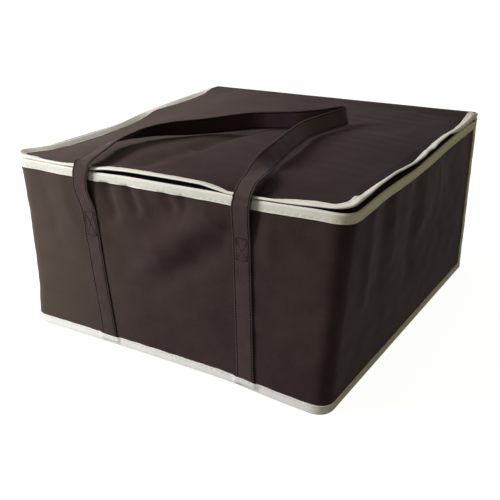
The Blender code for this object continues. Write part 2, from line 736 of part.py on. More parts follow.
def smooth_route(rows, steps=ROUTE_STEPS):
    """Rows of numbers read from the smooth curve through the given rows."""
    result = []
    for index in range(len(rows) - 1):
        before = rows[max(index - 1, 0)]
        start, end = rows[index], rows[index + 1]
        after = rows[min(index + 2, len(rows) - 1)]
        for step in range(steps):
            t = step / steps
            row = []
            for a, b, c, d in zip(before, start, end, after):
                leave = (c - a) / 2
                arrive = (d - b) / 2
                bend = 3 * (c - b) - 2 * leave - arrive
                twist = 2 * (b - c) + leave + arrive
                row.append(b + leave * t + bend * t**2 + twist * t**3)
            result.append(row)
    result.append(list(rows[-1]))
    return result


def across_webbing(centres, turns):
    """The unit vectors across the webbing, square to its route, from its turn in degrees.

    Both ends are cut level, so they count as upright.
    """
    widths = []
    for index, turn in enumerate(turns):
        along = Vector((0.0, 0.0, 1.0))
        if 0 < index < len(centres) - 1:
            along = (centres[index + 1] - centres[index - 1]).normalized()
        hint = Vector((math.cos(math.radians(turn)), 0.0, math.sin(math.radians(turn))))
        widths.append((hint - along * hint.dot(along)).normalized())
    return widths


def front_handle_rows():
    """The front handle's route as (x, y, z, turn) rows, before the rim leans."""
    wall_y = -(BODY_DEPTH / 2 + GAP + STRAP / 2)
    lift = STRAP_WIDTH / 2 + STRAP_LIFT
    rows = [(FRONT_HEADS_X[0], wall_y, STITCH_TOP + GAP, 0)]
    for x_share, y_share, off_share, level_share, lift_share, turn in FRONT_ROUTE_SHARES:
        rows.append((
            x_share * BODY_WIDTH,
            y_share * BODY_DEPTH - off_share * STRAP_STAND_OFF,
            level_share * LID_TOP + lift_share * lift,
            turn,
        ))
    rows.append((FRONT_HEADS_X[1], wall_y, STITCH_TOP + GAP, HALF_TURN))
    return rows


def make_front_handle():
    rows = smooth_route(front_handle_rows())
    centres = [Vector(row[:3]) for row in rows]
    widths = across_webbing(centres, [row[3] for row in rows])
    obj = band("front_handle_loop", centres, widths, BROWN_WEBBING)
    axis_y = -(BODY_DEPTH / 2 + STRAP + 2 * GAP)
    set_origin(obj, lean(Vector((FRONT_HEADS_X[0], axis_y, STITCH_TOP))))


def make_back_handle():
    """The back handle hangs from its stitching and rests on the floor on one edge."""
    wall_y = BODY_DEPTH / 2 + GAP + STRAP
    leg_y = wall_y + GAP + STRAP / 2
    half = [(BACK_LEG_X, leg_y, STITCH_TOP + BACK_HANDLE_RISE)]
    for x_share, height_share, off_share in BACK_ROUTE_SHARES:
        y = wall_y + off_share * STRAP_STAND_OFF
        half.append((x_share * BODY_WIDTH, y, height_share * STITCH_TOP))
    left = [(-x, y, z) for x, y, z in reversed(half[:-1])]
    rows = smooth_route(half + left)
    centres = [Vector(row) for row in rows]
    along = [ahead - behind for ahead, behind in zip(centres[2:], centres)]
    along = [Vector((0.0, 0.0, -1.0)), *along, Vector((0.0, 0.0, 1.0))]
    widths = [direction.cross(Vector((0.0, 1.0, 0.0))).normalized() for direction in along]
    obj = band("back_handle_loop", centres, widths, BROWN_WEBBING)
    set_origin(obj, Vector((0.0, wall_y + GAP / 2, STITCH_TOP + BACK_HANDLE_RISE)))


def set_lid_pivot():
    """The lid's pieces share an empty on the fold's axis."""
    pivot = bpy.data.objects.new("lid_pivot", None)
    pivot.location = (0.0, BODY_DEPTH / 2, LID_UNDERSIDE)
    bag.objects.link(pivot)
    for name in ("lid_shell", "lid_foam", "lid_liner", "lid_binding", "lid_zip_tape", "lid_zip_coil"):
        piece = bpy.data.objects[name]
        piece.parent = pivot
        piece.matrix_parent_inverse.translation = -pivot.location


def main():
    clear_scene()
    make_walls()
    make_floor()
    make_wall_foam()
    make_liners()
    make_bindings()
    make_lid()
    make_zip()
    make_pull_tab(make_slider())
    make_legs()
    make_front_handle()
    make_back_handle()
    set_lid_pivot()


main()
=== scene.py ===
"""The looks of the insulated bag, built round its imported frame.

Most soft pieces are laid out in wall coordinates: a place s along the outline, a depth into the wall and a
height. s starts at the back left corner and runs forwards along the left side, across the front, back along
the right side and home along the back. Metres throughout.
"""

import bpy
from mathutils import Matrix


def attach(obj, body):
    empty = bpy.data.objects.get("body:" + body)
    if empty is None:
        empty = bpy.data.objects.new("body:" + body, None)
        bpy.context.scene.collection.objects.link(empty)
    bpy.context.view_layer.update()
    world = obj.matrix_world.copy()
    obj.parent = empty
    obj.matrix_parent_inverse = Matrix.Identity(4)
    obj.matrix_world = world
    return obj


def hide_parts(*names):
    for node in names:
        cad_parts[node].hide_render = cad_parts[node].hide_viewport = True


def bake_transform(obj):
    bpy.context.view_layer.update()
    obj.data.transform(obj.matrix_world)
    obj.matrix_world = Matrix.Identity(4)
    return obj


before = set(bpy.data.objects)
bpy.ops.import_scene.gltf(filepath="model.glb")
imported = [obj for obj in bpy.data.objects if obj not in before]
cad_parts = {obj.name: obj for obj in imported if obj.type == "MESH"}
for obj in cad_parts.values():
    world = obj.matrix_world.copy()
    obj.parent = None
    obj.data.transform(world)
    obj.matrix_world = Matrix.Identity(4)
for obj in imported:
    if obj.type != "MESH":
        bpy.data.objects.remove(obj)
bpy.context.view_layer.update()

import copy
import math

import bpy
import numpy as np
from mathutils import Matrix, Vector

# Driving sizes, which follow the part's
BODY_WIDTH = 0.480
BODY_DEPTH = 0.500
RIM_HEIGHT = 0.251
CORNER_RADIUS = 0.028
FRONT_RIGHT_LEAN = np.array((0.0190, 0.0120))
BACK_RIGHT_LEAN = np.array((0.0070, 0.0))
LEAN_POWER = 3
FABRIC = 0.0010
FOAM = 0.0030
LINER = 0.0006
BOARD = 0.0020
TAPE = 0.0010
GAP = 0.0003
TAPE_REACH = 0.0120
CORNER_REACH = 0.0122
STRAP_WIDTH = 0.0250
STRAP = 0.0016
STRAP_STAND_OFF = 0.0060
STRAP_LIFT = 0.0005
STITCH_TOP = 0.2000
FRONT_FEET_X = (-0.0900, 0.1285)
FRONT_HEADS_X = (-0.1077, 0.1192)
BACK_LEG_X = 0.1120
LID_TOP = 0.2630
LID_SETBACK = 0.0080

# How far the right side is pulled in here, and how much further at the rim's back
RIGHT_PULL = (-0.0020, -0.0020)

# The outline's stretches, by their ends
HALF_WIDTH = BODY_WIDTH / 2
HALF_DEPTH = BODY_DEPTH / 2
LEFT_END = BODY_DEPTH - CORNER_RADIUS
FRONT_START = LEFT_END + CORNER_RADIUS * math.pi / 2
FRONT_END = FRONT_START + BODY_WIDTH - 2 * CORNER_RADIUS
RIGHT_START = FRONT_END + CORNER_RADIUS * math.pi / 2
WRAP_END = RIGHT_START + BODY_DEPTH - CORNER_RADIUS
RING_END = WRAP_END + BODY_WIDTH

# Depths into the wall
TAPE_OUT = -(GAP + TAPE)
FOAM_IN = FABRIC + GAP
LINER_IN = FOAM_IN + FOAM + GAP
INNER_TAPE_IN = 0.0032
SEAM_TAPE_IN = 0.0036
ZIP_TAPE_IN = INNER_TAPE_IN + GAP
ZIP_TAPE = 0.0008
ZIP_SUNK = 0.0074
LID_SEAM_IN = 0.0090
LID_CLOTH_IN = 0.0030
LID_FOLD_IN = 0.0018
LID_PAD_IN = 0.0230
LID_TAPE_TURN = 0.0100
LID_BACK_RISE = 0.0012
LID_PAD = 0.0018

# How far the rim stands above its plain height: (place, rise)
RIM_RISE = (
    (0.000, 0.0000),
    (0.460, 0.0000),
    (0.505, 0.0004),
    (0.600, 0.0000),
    (0.630, -0.0008),
    (0.700, 0.0010),
    (0.800, 0.0010),
    (0.857, -0.0004),
    (0.930, 0.0004),
    (0.985, -0.0020),
    (1.030, -0.0015),
    (1.105, -0.0030),
    (1.170, -0.0050),
    (1.225, -0.0032),
    (1.296, 0.0004),
    (1.360, 0.0014),
    (1.410, 0.0014),
    (WRAP_END, 0.0000),
)

# How far the bottom seam is lifted off the floor: (place, lift)
FLOOR_LIFT = (
    (0.000, 0.0000),
    (0.250, 0.0020),
    (0.440, 0.0062),
    (0.520, 0.0068),
    (0.620, 0.0076),
    (0.720, 0.0082),
    (0.800, 0.0082),
    (0.850, 0.0064),
    (0.890, 0.0030),
    (0.930, 0.0006),
    (0.962, -0.0006),
    (1.000, 0.0000),
    (WRAP_END, 0.0000),
    (RING_END, 0.0000),
)

# The lid's edge: (place, height of its lower side, of its upper side, of the inner edge of its tape, and how
# far it has slipped inwards)
LID_EDGE = (
    (0.000, 0.2575, 0.2620, 0.2635, 0.0000),
    (0.010, 0.2568, 0.2645, 0.2662, 0.0000),
    (0.032, 0.2565, 0.2655, 0.2665, 0.0000),
    (0.060, 0.2565, 0.2640, 0.2610, 0.0000),
    (0.100, 0.2560, 0.2628, 0.2582, 0.0000),
    (0.150, 0.2555, 0.2610, 0.2574, 0.0000),
    (0.190, 0.2548, 0.2594, 0.2582, 0.0000),
    (0.208, 0.2545, 0.2584, 0.2568, 0.0003),
    (0.225, 0.2538, 0.2574, 0.2530, 0.0008),
    (0.245, 0.2528, 0.2560, 0.2498, 0.0020),
    (0.270, 0.2512, 0.2542, 0.2472, 0.0040),
    (0.300, 0.2495, 0.2525, 0.2460, 0.0054),
    (0.340, 0.2486, 0.2514, 0.2452, 0.0058),
    (0.400, 0.2486, 0.2513, 0.2450, 0.0058),
    (0.430, 0.2490, 0.2520, 0.2462, 0.0048),
    (0.452, 0.2500, 0.2536, 0.2490, 0.0028),
    (0.470, 0.2508, 0.2556, 0.2508, 0.0010),
    (0.488, 0.2512, 0.2574, 0.2528, 0.0000),
    (0.504, 0.2512, 0.2568, 0.2540, 0.0000),
    (0.522, 0.2512, 0.2562, 0.2542, 0.0000),
    (0.545, 0.2510, 0.2550, 0.2515, 0.0000),
    (0.570, 0.2510, 0.2548, 0.2516, 0.0000),
    (0.600, 0.2520, 0.2552, 0.2542, 0.0000),
    (0.622, 0.2516, 0.2552, 0.2536, 0.0000),
    (0.660, 0.2558, 0.2586, 0.2582, 0.0000),
    (0.700, 0.2578, 0.2602, 0.2598, 0.0000),
    (0.750, 0.2582, 0.2605, 0.2598, 0.0000),
    (0.790, 0.2576, 0.2600, 0.2588, 0.0000),
    (0.812, 0.2543, 0.2572, 0.2556, 0.0000),
    (0.832, 0.2514, 0.2548, 0.2495, 0.0000),
    (0.853, 0.2514, 0.2545, 0.2470, 0.0000),
    (0.873, 0.2518, 0.2546, 0.2510, 0.0000),
    (0.900, 0.2522, 0.2552, 0.2550, 0.0000),
    (0.930, 0.2536, 0.2566, 0.2572, 0.0000),
    (0.945, 0.2544, 0.2572, 0.2570, 0.0000),
    (0.962, 0.2559, 0.2592, 0.2600, 0.0000),
    (0.978, 0.2590, 0.2632, 0.2636, 0.0000),
    (1.000, 0.2602, 0.2630, 0.2590, 0.0000),
    (1.030, 0.2615, 0.2640, 0.2585, 0.0000),
    (1.085, 0.2608, 0.2632, 0.2560, 0.0000),
    (1.120, 0.2583, 0.2606, 0.2530, 0.0000),
    (1.165, 0.2555, 0.2580, 0.2508, 0.0000),
    (1.195, 0.2552, 0.2578, 0.2525, 0.0000),
    (1.214, 0.2576, 0.2608, 0.2550, 0.0000),
    (1.235, 0.2570, 0.2592, 0.2560, 0.0000),
    (1.256, 0.2596, 0.2624, 0.2580, 0.0000),
    (1.300, 0.2610, 0.2630, 0.2590, 0.0000),
    (1.330, 0.2568, 0.2608, 0.2574, 0.0000),
    (1.358, 0.2540, 0.2600, 0.2560, 0.0000),
    (1.390, 0.2538, 0.2600, 0.2570, 0.0000),
    (1.420, 0.2536, 0.2620, 0.2625, 0.0000),
    (1.434, 0.2534, 0.2640, 0.2655, 0.0000),
    (1.446, 0.2550, 0.2640, 0.2660, 0.0000),
    (WRAP_END, 0.2566, 0.2628, 0.2652, 0.0000),
)

# How far the middle of the wall stands out, and how far all of it does: (place, distance, distance)
BELLY = (
    (0.000, 0.0000, 0.0000),
    (0.200, -0.0010, 0.0000),
    (0.440, -0.0022, 0.0000),
    (0.494, -0.0044, 0.0010),
    (0.550, -0.0020, 0.0000),
    (0.720, 0.0016, 0.0000),
    (0.850, 0.0004, 0.0000),
    (0.940, -0.0006, 0.0000),
    (0.962, -0.0010, 0.0034),
    (0.984, -0.0014, 0.0000),
    (1.200, -0.0030, 0.0000),
    (WRAP_END, 0.0000, 0.0000),
    (1.700, 0.0010, 0.0000),
    (RING_END, 0.0000, 0.0000),
)

# Folds of the walls, from (place, height) to (place, height), then half width and how far they stand out
WALL_FOLDS = (
    (0.650, 0.238, 0.662, 0.196, 0.0085, -0.0048),
    (0.684, 0.240, 0.699, 0.208, 0.0060, -0.0040),
    (0.702, 0.240, 0.716, 0.212, 0.0065, 0.0026),
    (0.739, 0.240, 0.753, 0.222, 0.0055, -0.0036),
    (0.766, 0.240, 0.772, 0.222, 0.0050, -0.0030),
    (0.792, 0.240, 0.800, 0.226, 0.0055, 0.0020),
    (0.730, 0.164, 0.806, 0.214, 0.0170, 0.0058),
    (0.752, 0.132, 0.826, 0.186, 0.0150, -0.0026),
    (0.694, 0.122, 0.766, 0.168, 0.0140, 0.0024),
    (0.640, 0.190, 0.690, 0.120, 0.0200, -0.0020),
    (0.860, 0.236, 0.862, 0.190, 0.0070, -0.0018),
    (0.880, 0.232, 0.881, 0.180, 0.0080, 0.0012),
    (0.540, 0.236, 0.556, 0.160, 0.0120, -0.0014),
    (0.575, 0.236, 0.585, 0.180, 0.0110, 0.0014),
    (1.204, 0.140, 1.245, 0.172, 0.0200, 0.0018),
    (1.180, 0.222, 1.190, 0.100, 0.0180, -0.0016),
    (1.222, 0.215, 1.228, 0.160, 0.0130, 0.0012),
    (1.026, 0.232, 1.036, 0.120, 0.0140, 0.0018),
    (1.070, 0.225, 1.080, 0.130, 0.0180, -0.0016),
    (1.100, 0.226, 1.120, 0.150, 0.0140, 0.0014),
    (1.285, 0.215, 1.300, 0.180, 0.0080, 0.0012),
    (0.120, 0.225, 0.160, 0.110, 0.0200, -0.0020),
    (0.300, 0.225, 0.270, 0.100, 0.0220, 0.0022),
    (1.600, 0.225, 1.620, 0.120, 0.0220, -0.0020),
    (1.760, 0.120, 1.820, 0.200, 0.0180, 0.0022),
)

# Folds of the lid, from (x, y) to (x, y), then half width and how far they stand up
LID_FOLDS = (
    (-0.010, -0.014, -0.023, -0.118, 0.0130, -0.0044),
    (-0.023, -0.118, -0.045, -0.232, 0.0140, -0.0030),
    (-0.050, -0.070, -0.085, -0.190, 0.0240, 0.0010),
    (0.160, -0.170, 0.080, -0.060, 0.0260, -0.0016),
    (-0.090, 0.150, 0.060, 0.120, 0.0300, -0.0014),
    (0.160, 0.080, 0.190, 0.200, 0.0240, -0.0014),
)

# The route of the front handle, near the part's: the share of the width, of the depth and of the stand-off,
# the share of the lid's height, the lift in half widths, and the turn of the webbing in degrees
FRONT_ROUTE_SHARES = (
    (-0.235, -0.500, 0.78, 0.852, 0.00, 0),
    (-0.232, -0.500, 1.05, 0.925, 0.00, 0),
    (-0.226, -0.500, 0.90, 0.968, 0.00, 2),
    (-0.221, -0.500, 0.60, 0.995, 0.00, 5),
    (-0.217, -0.486, 0.00, 1.000, 0.24, 9),
    (-0.218, -0.446, 0.00, 1.000, 0.60, 13),
    (-0.221, -0.406, 0.00, 1.000, 0.85, 18),
    (-0.222, -0.372, 0.00, 1.000, 0.96, 24),
    (-0.219, -0.335, 0.00, 1.000, 1.00, 31),
    (-0.212, -0.294, 0.00, 1.000, 1.02, 40),
    (-0.196, -0.253, 0.00, 1.000, 1.03, 48),
    (-0.170, -0.212, 0.00, 1.000, 1.02, 54),
    (-0.124, -0.166, 0.00, 1.000, 1.00, 64),
    (-0.078, -0.111, 0.00, 1.000, 1.00, 77),
    (-0.036, -0.051, 0.00, 1.000, 1.00, 90),
    (0.002, -0.010, 0.00, 1.000, 1.00, 100),
    (0.053, 0.020, 0.00, 1.000, 1.00, 106),
    (0.112, 0.054, 0.00, 1.000, 1.06, 108),
    (0.153, 0.094, 0.00, 1.000, 1.12, 106),
    (0.175, 0.130, 0.00, 1.000, 1.14, 103),
    (0.187, 0.153, 0.00, 1.000, 1.14, 100),
    (0.196, 0.161, 0.00, 1.000, 1.13, 100),
    (0.203, 0.157, 0.00, 1.000, 1.12, 102),
    (0.205, 0.143, 0.00, 1.000, 1.10, 106),
    (0.201, 0.123, 0.00, 1.000, 1.07, 110),
    (0.193, 0.087, 0.00, 1.000, 1.04, 113),
    (0.181, 0.029, 0.00, 1.000, 1.01, 114),
    (0.174, -0.041, 0.00, 1.000, 1.00, 117),
    (0.184, -0.122, 0.00, 1.000, 1.00, 120),
    (0.197, -0.199, 0.00, 1.000, 1.00, 118),
    (0.213, -0.273, 0.00, 1.000, 1.00, 116),
    (0.225, -0.335, 0.00, 1.000, 0.93, 127),
    (0.235, -0.392, 0.00, 1.000, 0.73, 154),
    (0.245, -0.442, 0.00, 1.000, 0.47, 176),
    (0.250, -0.482, 0.00, 1.000, 0.17, 184),
    (0.253, -0.500, 0.62, 0.976, 0.00, 182),
    (0.252, -0.500, 0.95, 0.945, 0.00, 180),
    (0.250, -0.500, 1.10, 0.905, 0.00, 180),
)

# The back handle's right half, near the part's: the share of the width, of the stitched height, and the
# distance from the wall in stand-offs
BACK_ROUTE_SHARES = (
    (0.2345, 0.96, 0.25),
    (0.243, 0.90, 0.45),
    (0.268, 0.80, 0.75),
    (0.312, 0.66, 1.20),
    (0.362, 0.46, 1.70),
    (0.412, 0.27, 2.10),
    (0.441, 0.16, 2.25),
    (0.447, 0.11, 2.30),
    (0.437, 0.08, 2.30),
    (0.405, 0.069, 2.30),
    (0.330, 0.068, 2.20),
    (0.180, 0.068, 2.00),
    (0.000, 0.068, 1.90),
)

# The seeded unevenness of each piece: (how far it reaches, pitch, seed). A foil's reach is a share
UNEVEN = {
    "wall wide": ((0.0011, 0.085, 11),),
    "wall fine": ((0.0004, 0.032, 12),),
    "wall sway": ((0.0006, 0.160, 13),),
    "side foil": ((1.0, 0.050, 21), (0.5, 0.018, 22)),
    "back foil": ((1.0, 0.040, 23),),
    "bottom foil": ((1.0, 0.060, 31), (0.5, 0.020, 32)),
    "rim tape": ((0.0001, 0.030, 41), (0.00005, 0.008, 42)),
    "bottom tape": ((0.0003, 0.020, 43),),
    "back_left_tape": ((0.0003, 0.030, 43),),
    "back_right_tape": ((0.0003, 0.030, 45),),
    "lid tape": ((0.0002, 0.020, 51), (0.0001, 0.007, 52)),
    "lid": ((0.0008, 0.110, 61), (0.0003, 0.040, 62)),
    "lid foil": ((1.0, 0.050, 63), (0.5, 0.020, 64)),
    "hinge": ((0.00035, 0.090, 71),),
    "webbing": ((0.00025, 0.030, 81),),
}

# Grid steps
WALL_STEP = 0.0040
TAPE_STEP = 0.0016
FOIL_STEP = 0.0050
PLAN_STEP = 0.0050
FLOOR_STEP = 0.0030
FLOOR_PAD_STEP = 0.0100
LID_STEP = 0.0040
ZIP_STEP = 0.0040
ROUTE_STEPS = 7

# The foam and the foil inside the walls, clear of both tapes. The foam is thinner than its solid, so
# that the walls' folds don't press through it
INSIDE_LOW = TAPE_REACH + 0.0021
INSIDE_HIGH = RIM_HEIGHT - TAPE_REACH - 0.0062
BACK_INSIDE_HIGH = RIM_HEIGHT - 2 * TAPE - GAP
FOAM_SUNK = 0.0008
FOAM_THINNED = 0.0012
CORNER_ROOM = 0.0100
WALL_CRINKLE = 0.0012
CRINKLE_LEVEL = 0.6
BACK_CRINKLE_FADE = 0.0200
FLOOR_INSET = 0.0125
SLIP_FADE = 0.0300

# Where the rim tape and the zip end before the back corners
SIDE_TAPE_END = TAPE_REACH + 2 * GAP

# The hinge fold's section, as (forwards of the back wall, height), its flat length, and where it bends
HINGE_TOP = LID_TOP + LID_BACK_RISE
HINGE_SECTION = (
    (0.0000, RIM_HEIGHT - 0.0010),
    (0.0000, 0.2535),
    (0.0000, 0.2580),
    (0.0000, 0.2608),
    (0.0004, 0.2626),
    (0.0014, HINGE_TOP - 0.0004),
    (0.0032, HINGE_TOP),
    (LID_SETBACK + 0.0030, HINGE_TOP + 0.0002),
)

# The zip: the flat widths of its halves, the tapes' distances from the coil, and its first tooth
BODY_ZIP_FLAT = 0.0120
LID_ZIP_FLAT = 0.0100
ZIP_BEHIND = 0.0013
ZIP_TAPE_PART = 0.0005
FIRST_TOOTH_Y = 0.2311

# The handles: the lowest point of a leg, the crossed boxes' (lowest, highest), and their half width as a
# share of the strap's
LEG_FOOT = 0.0030
LEFT_BOX = (0.1630, 0.1980)
RIGHT_BOX = (0.1750, 0.2035)
BACK_BOX = (0.1650, 0.1940)
BOX_SHARE = 0.6

# The pitch of the cloth's embossed dots
DOT_PITCH = 0.0028

# Stitches, and the seams' distance from a tape's edge and from a strap's middle in half widths
SEAM_PITCH = 0.0080
SEAM_LENGTH = 0.0058
SEAM_LINE = 0.0026
SEAM_SINK = 0.00032
SEAM_SPREAD = 0.0011
STRAP_PITCH = 0.0034
STRAP_STITCH = 0.0027
STRAP_SEAM = 0.81
THREAD = 0.00032
STRAP_THREAD = 0.0004
THREAD_SUNK = 0.0002
TOOTH_PITCH = 0.0016

# Colours that several looks share
BROWN = (0.040, 0.0252, 0.0250)
PALE_BROWN = (0.060, 0.0402, 0.0392)
CREAM = (0.735, 0.732, 0.695)
DEEP_CREAM = (0.685, 0.678, 0.625)
# Painted shade: the olive tint that the cream tape shows in shade, painted on the right side, along the back
# and on the back corners
SHADED_TAPE_TINT = (0.72, 0.68, 0.44)

# Lamps: (name, place, target, size, power, colour)
LAMPS = (
    ("key", (-1.0, -0.95, 1.15), (0.03, 0.0, 0.13), 0.7, 28.0, (1.0, 0.99, 0.98)),
    ("top", (0.0, 0.25, 1.5), (-0.1, 0.0, 0.26), 0.8, 2.0, (1.0, 0.98, 0.95)),
    ("low left", (-0.72, -0.80, 0.10), (-0.24, -0.25, 0.12), 0.4, 3.2, (0.99, 0.98, 0.92)),
)


def smoothstep(value):
    value = np.clip(value, 0.0, 1.0)
    return value * value * (3 - 2 * value)


def read_rows(rows, at, column=1):
    """Values read at places from the smooth curve through rows. It never overshoots them."""
    places = np.array([row[0] for row in rows])
    values = np.array([row[column] for row in rows])
    rates = np.diff(values) / np.diff(places)
    slopes = np.zeros(len(rows))
    before, after = rates[:-1], rates[1:]
    alike = before * after > 0
    slopes[1:-1][alike] = 2 * before[alike] * after[alike] / (before[alike] + after[alike])
    at = np.clip(at, places[0], places[-1])
    index = np.clip(np.searchsorted(places, at, side="right") - 1, 0, len(rows) - 2)
    width = places[index + 1] - places[index]
    t = (at - places[index]) / width
    start, end = values[index], values[index + 1]
    leave, arrive = slopes[index] * width, slopes[index + 1] * width
    bend = 3 * (end - start) - 2 * leave - arrive
    twist = 2 * (start - end) + leave + arrive
    return start + leave * t + bend * t**2 + twist * t**3


def ripple(u, v, pitch, seed, waves=7):
    """Seeded smooth unevenness, mostly between -1 and 1."""
    chance = np.random.default_rng(seed)
    total = np.zeros(np.broadcast(u, v).shape)
    for _ in range(waves):
        angle, phase = chance.uniform(0, 2 * math.pi, 2)
        rate = 2 * math.pi / (pitch * chance.uniform(0.6, 1.7))
        total += np.sin(rate * (u * math.cos(angle) + v * math.sin(angle)) + phase)
    return total / math.sqrt(2 * waves)


def uneven(name, u, v):
    """The seeded unevenness of a piece at (u, v)."""
    return sum(reach * ripple(u, v, pitch, seed) for reach, pitch, seed in UNEVEN[name])


def fold_field(u, v, folds):
    """The sum of long soft folds at (u, v)."""
    total = np.zeros(np.broadcast(u, v).shape)
    for u_start, v_start, u_end, v_end, width, height in folds:
        du, dv = u_end - u_start, v_end - v_start
        along = ((u - u_start) * du + (v - v_start) * dv) / (du * du + dv * dv)
        nearest = np.clip(along, 0, 1)
        distance = np.hypot(u - u_start - nearest * du, v - v_start - nearest * dv)
        total += height * np.exp(-((distance / width) ** 2))
    return total


def lean(places):
    """Places once the soft rim has leaned, as in the part, and the right side has been pulled in a little."""
    rise = np.clip(places[..., 2], 0, None) / RIM_HEIGHT
    across = np.clip(places[..., 0] / BODY_WIDTH + 0.5, 0, 1) ** LEAN_POWER
    back = np.clip(places[..., 1] / BODY_DEPTH + 0.5, 0, 1)[..., None]
    shift = (FRONT_RIGHT_LEAN * (1 - back) + BACK_RIGHT_LEAN * back) * (rise * across)[..., None]
    leaned = np.array(places, float)
    leaned[..., :2] += shift
    leaned[..., 0] += across * (RIGHT_PULL[0] + RIGHT_PULL[1] * rise * back[..., 0])
    return leaned


def outline(s):
    """x, y and the outward direction at places along the walls. The back corners are mitred."""
    s = np.asarray(s, float)
    centre_x, centre_y = HALF_WIDTH - CORNER_RADIUS, HALF_DEPTH - CORNER_RADIUS
    left_turn = (s - LEFT_END) / CORNER_RADIUS
    right_turn = (s - FRONT_END) / CORNER_RADIUS
    zero, one = np.zeros_like(s), np.ones_like(s)
    stretches = [s <= LEFT_END, s <= FRONT_START, s <= FRONT_END, s <= RIGHT_START, s <= WRAP_END]
    out_x = np.select(stretches, [-one, -np.cos(left_turn), zero, np.sin(right_turn), one], zero)
    out_y = np.select(stretches, [zero, -np.sin(left_turn), -one, -np.cos(right_turn), zero], one)
    x = np.select(
        stretches,
        [
            -HALF_WIDTH * one,
            -centre_x + CORNER_RADIUS * out_x,
            -centre_x + s - FRONT_START,
            centre_x + CORNER_RADIUS * out_x,
            HALF_WIDTH * one,
        ],
        HALF_WIDTH - (s - WRAP_END),
    )
    y = np.select(
        stretches,
        [
            HALF_DEPTH - s,
            -centre_y + CORNER_RADIUS * out_y,
            -HALF_DEPTH * one,
            -centre_y + CORNER_RADIUS * out_y,
            -centre_y + s - RIGHT_START,
        ],
        HALF_DEPTH * one,
    )
    right_mitre = np.abs(s - WRAP_END) < GAP / 2
    left_mitre = (s < GAP / 2) | (s > RING_END - GAP / 2)
    out_x = np.where(right_mitre, 1.0, np.where(left_mitre, -1.0, out_x))
    out_y = np.where(right_mitre | left_mitre, 1.0, out_y)
    return x, y, out_x, out_y


def stations(start, end, step):
    """Places along the outline about a step apart, with every change of direction among them."""
    turns = [turn for turn in (LEFT_END, FRONT_START, FRONT_END, RIGHT_START, WRAP_END) if start < turn < end]
    marks = [start, *turns, end]
    found = [np.array([start])]
    for low, high in zip(marks, marks[1:]):
        count = max(2, round((high - low) / step))
        found.append(np.linspace(low, high, count + 1)[1:])
    places = np.concatenate(found)
    room = 0.0075
    near = (np.abs(places - WRAP_END) < room) & (np.abs(places - WRAP_END) > GAP / 2)
    if end > WRAP_END:
        near |= (places < room) & (places > GAP / 2)
        near |= (places > RING_END - room) & (places < RING_END - GAP / 2)
    return places[~near]


def leg_x(foot_x, head_x, height):
    """The middle of a sewn strap leg at a height."""
    low = TAPE_REACH + GAP
    return foot_x + (head_x - foot_x) * (height - low) / (STITCH_TOP - low)


def front_s(x):
    return FRONT_START + x + HALF_WIDTH - CORNER_RADIUS


def back_s(x):
    return WRAP_END + HALF_WIDTH - x


def leg_places(height):
    """Where the four legs are along the outline."""
    fronts = [front_s(leg_x(foot, head, height)) for foot, head in zip(FRONT_FEET_X, FRONT_HEADS_X)]
    return fronts + [back_s(side * BACK_LEG_X) for side in (1, -1)]


def wall_swell(s, height):
    """How far the wall stands out from its flat place. It is calm at the floor, the rim and the sewn legs."""
    floor_calm, floor_fade = 0.014, 0.050
    rim_calm, rim_fade = 0.008, 0.010
    leg_calm, leg_fade, leg_left = 0.013, 0.014, 0.12
    corner_calm, corner_fade = 0.010, 0.040
    sway_start, sway_fade = 0.440, 0.040
    share = np.clip(height / RIM_HEIGHT, 0, 1)
    middle = np.sin(np.pi * share) ** 1.6
    calm = smoothstep((height - floor_calm) / floor_fade)
    calm = calm * smoothstep((RIM_HEIGHT - rim_calm - height) / rim_fade)
    for leg in leg_places(np.minimum(height, STITCH_TOP)):
        near = smoothstep((np.abs(s - leg) - leg_calm) / leg_fade)
        calm = calm * (leg_left + (1 - leg_left) * near)
    for corner in (0.0, WRAP_END, RING_END):
        calm = calm * smoothstep((np.abs(s - corner) - corner_calm) / corner_fade)
    rough = uneven("wall wide", s, height * 0.6) + uneven("wall fine", s, height)
    sway = uneven("wall sway", s, 0 * s) * smoothstep(share * 1.4 - 0.3)
    sway = sway * smoothstep((s - sway_start) / sway_fade) * smoothstep((WRAP_END - s) / sway_fade)
    belly = read_rows(BELLY, s) * middle + read_rows(BELLY, s, 2)
    return belly + sway + (rough + fold_field(s, height, WALL_FOLDS)) * calm


def wall_place(s, depth, height):
    """World places of wall coordinates on the body, which follow the rim's rise and the floor seam's lift."""
    s, depth, height = np.broadcast_arrays(s, depth, height)
    share = np.clip(height / RIM_HEIGHT, 0, 1)
    rise = read_rows(RIM_RISE, s) * share**4 + read_rows(FLOOR_LIFT, s) * (1 - share)
    return edge_place(s, depth, height + rise, height)


def edge_place(s, depth, height, swell_height=RIM_HEIGHT):
    """World places of wall coordinates whose height is already the true one, such as those of the lid."""
    s, depth, height = np.broadcast_arrays(s, depth, height)
    x, y, out_x, out_y = outline(s)
    reach = wall_swell(s, np.broadcast_to(swell_height, s.shape)) - depth
    return lean(np.stack([x + out_x * reach, y + out_y * reach, height], -1))


def ring_place(s, depth, height):
    """edge_place for places that may lie before the start of the outline."""
    return edge_place(np.mod(s, RING_END), depth, height)


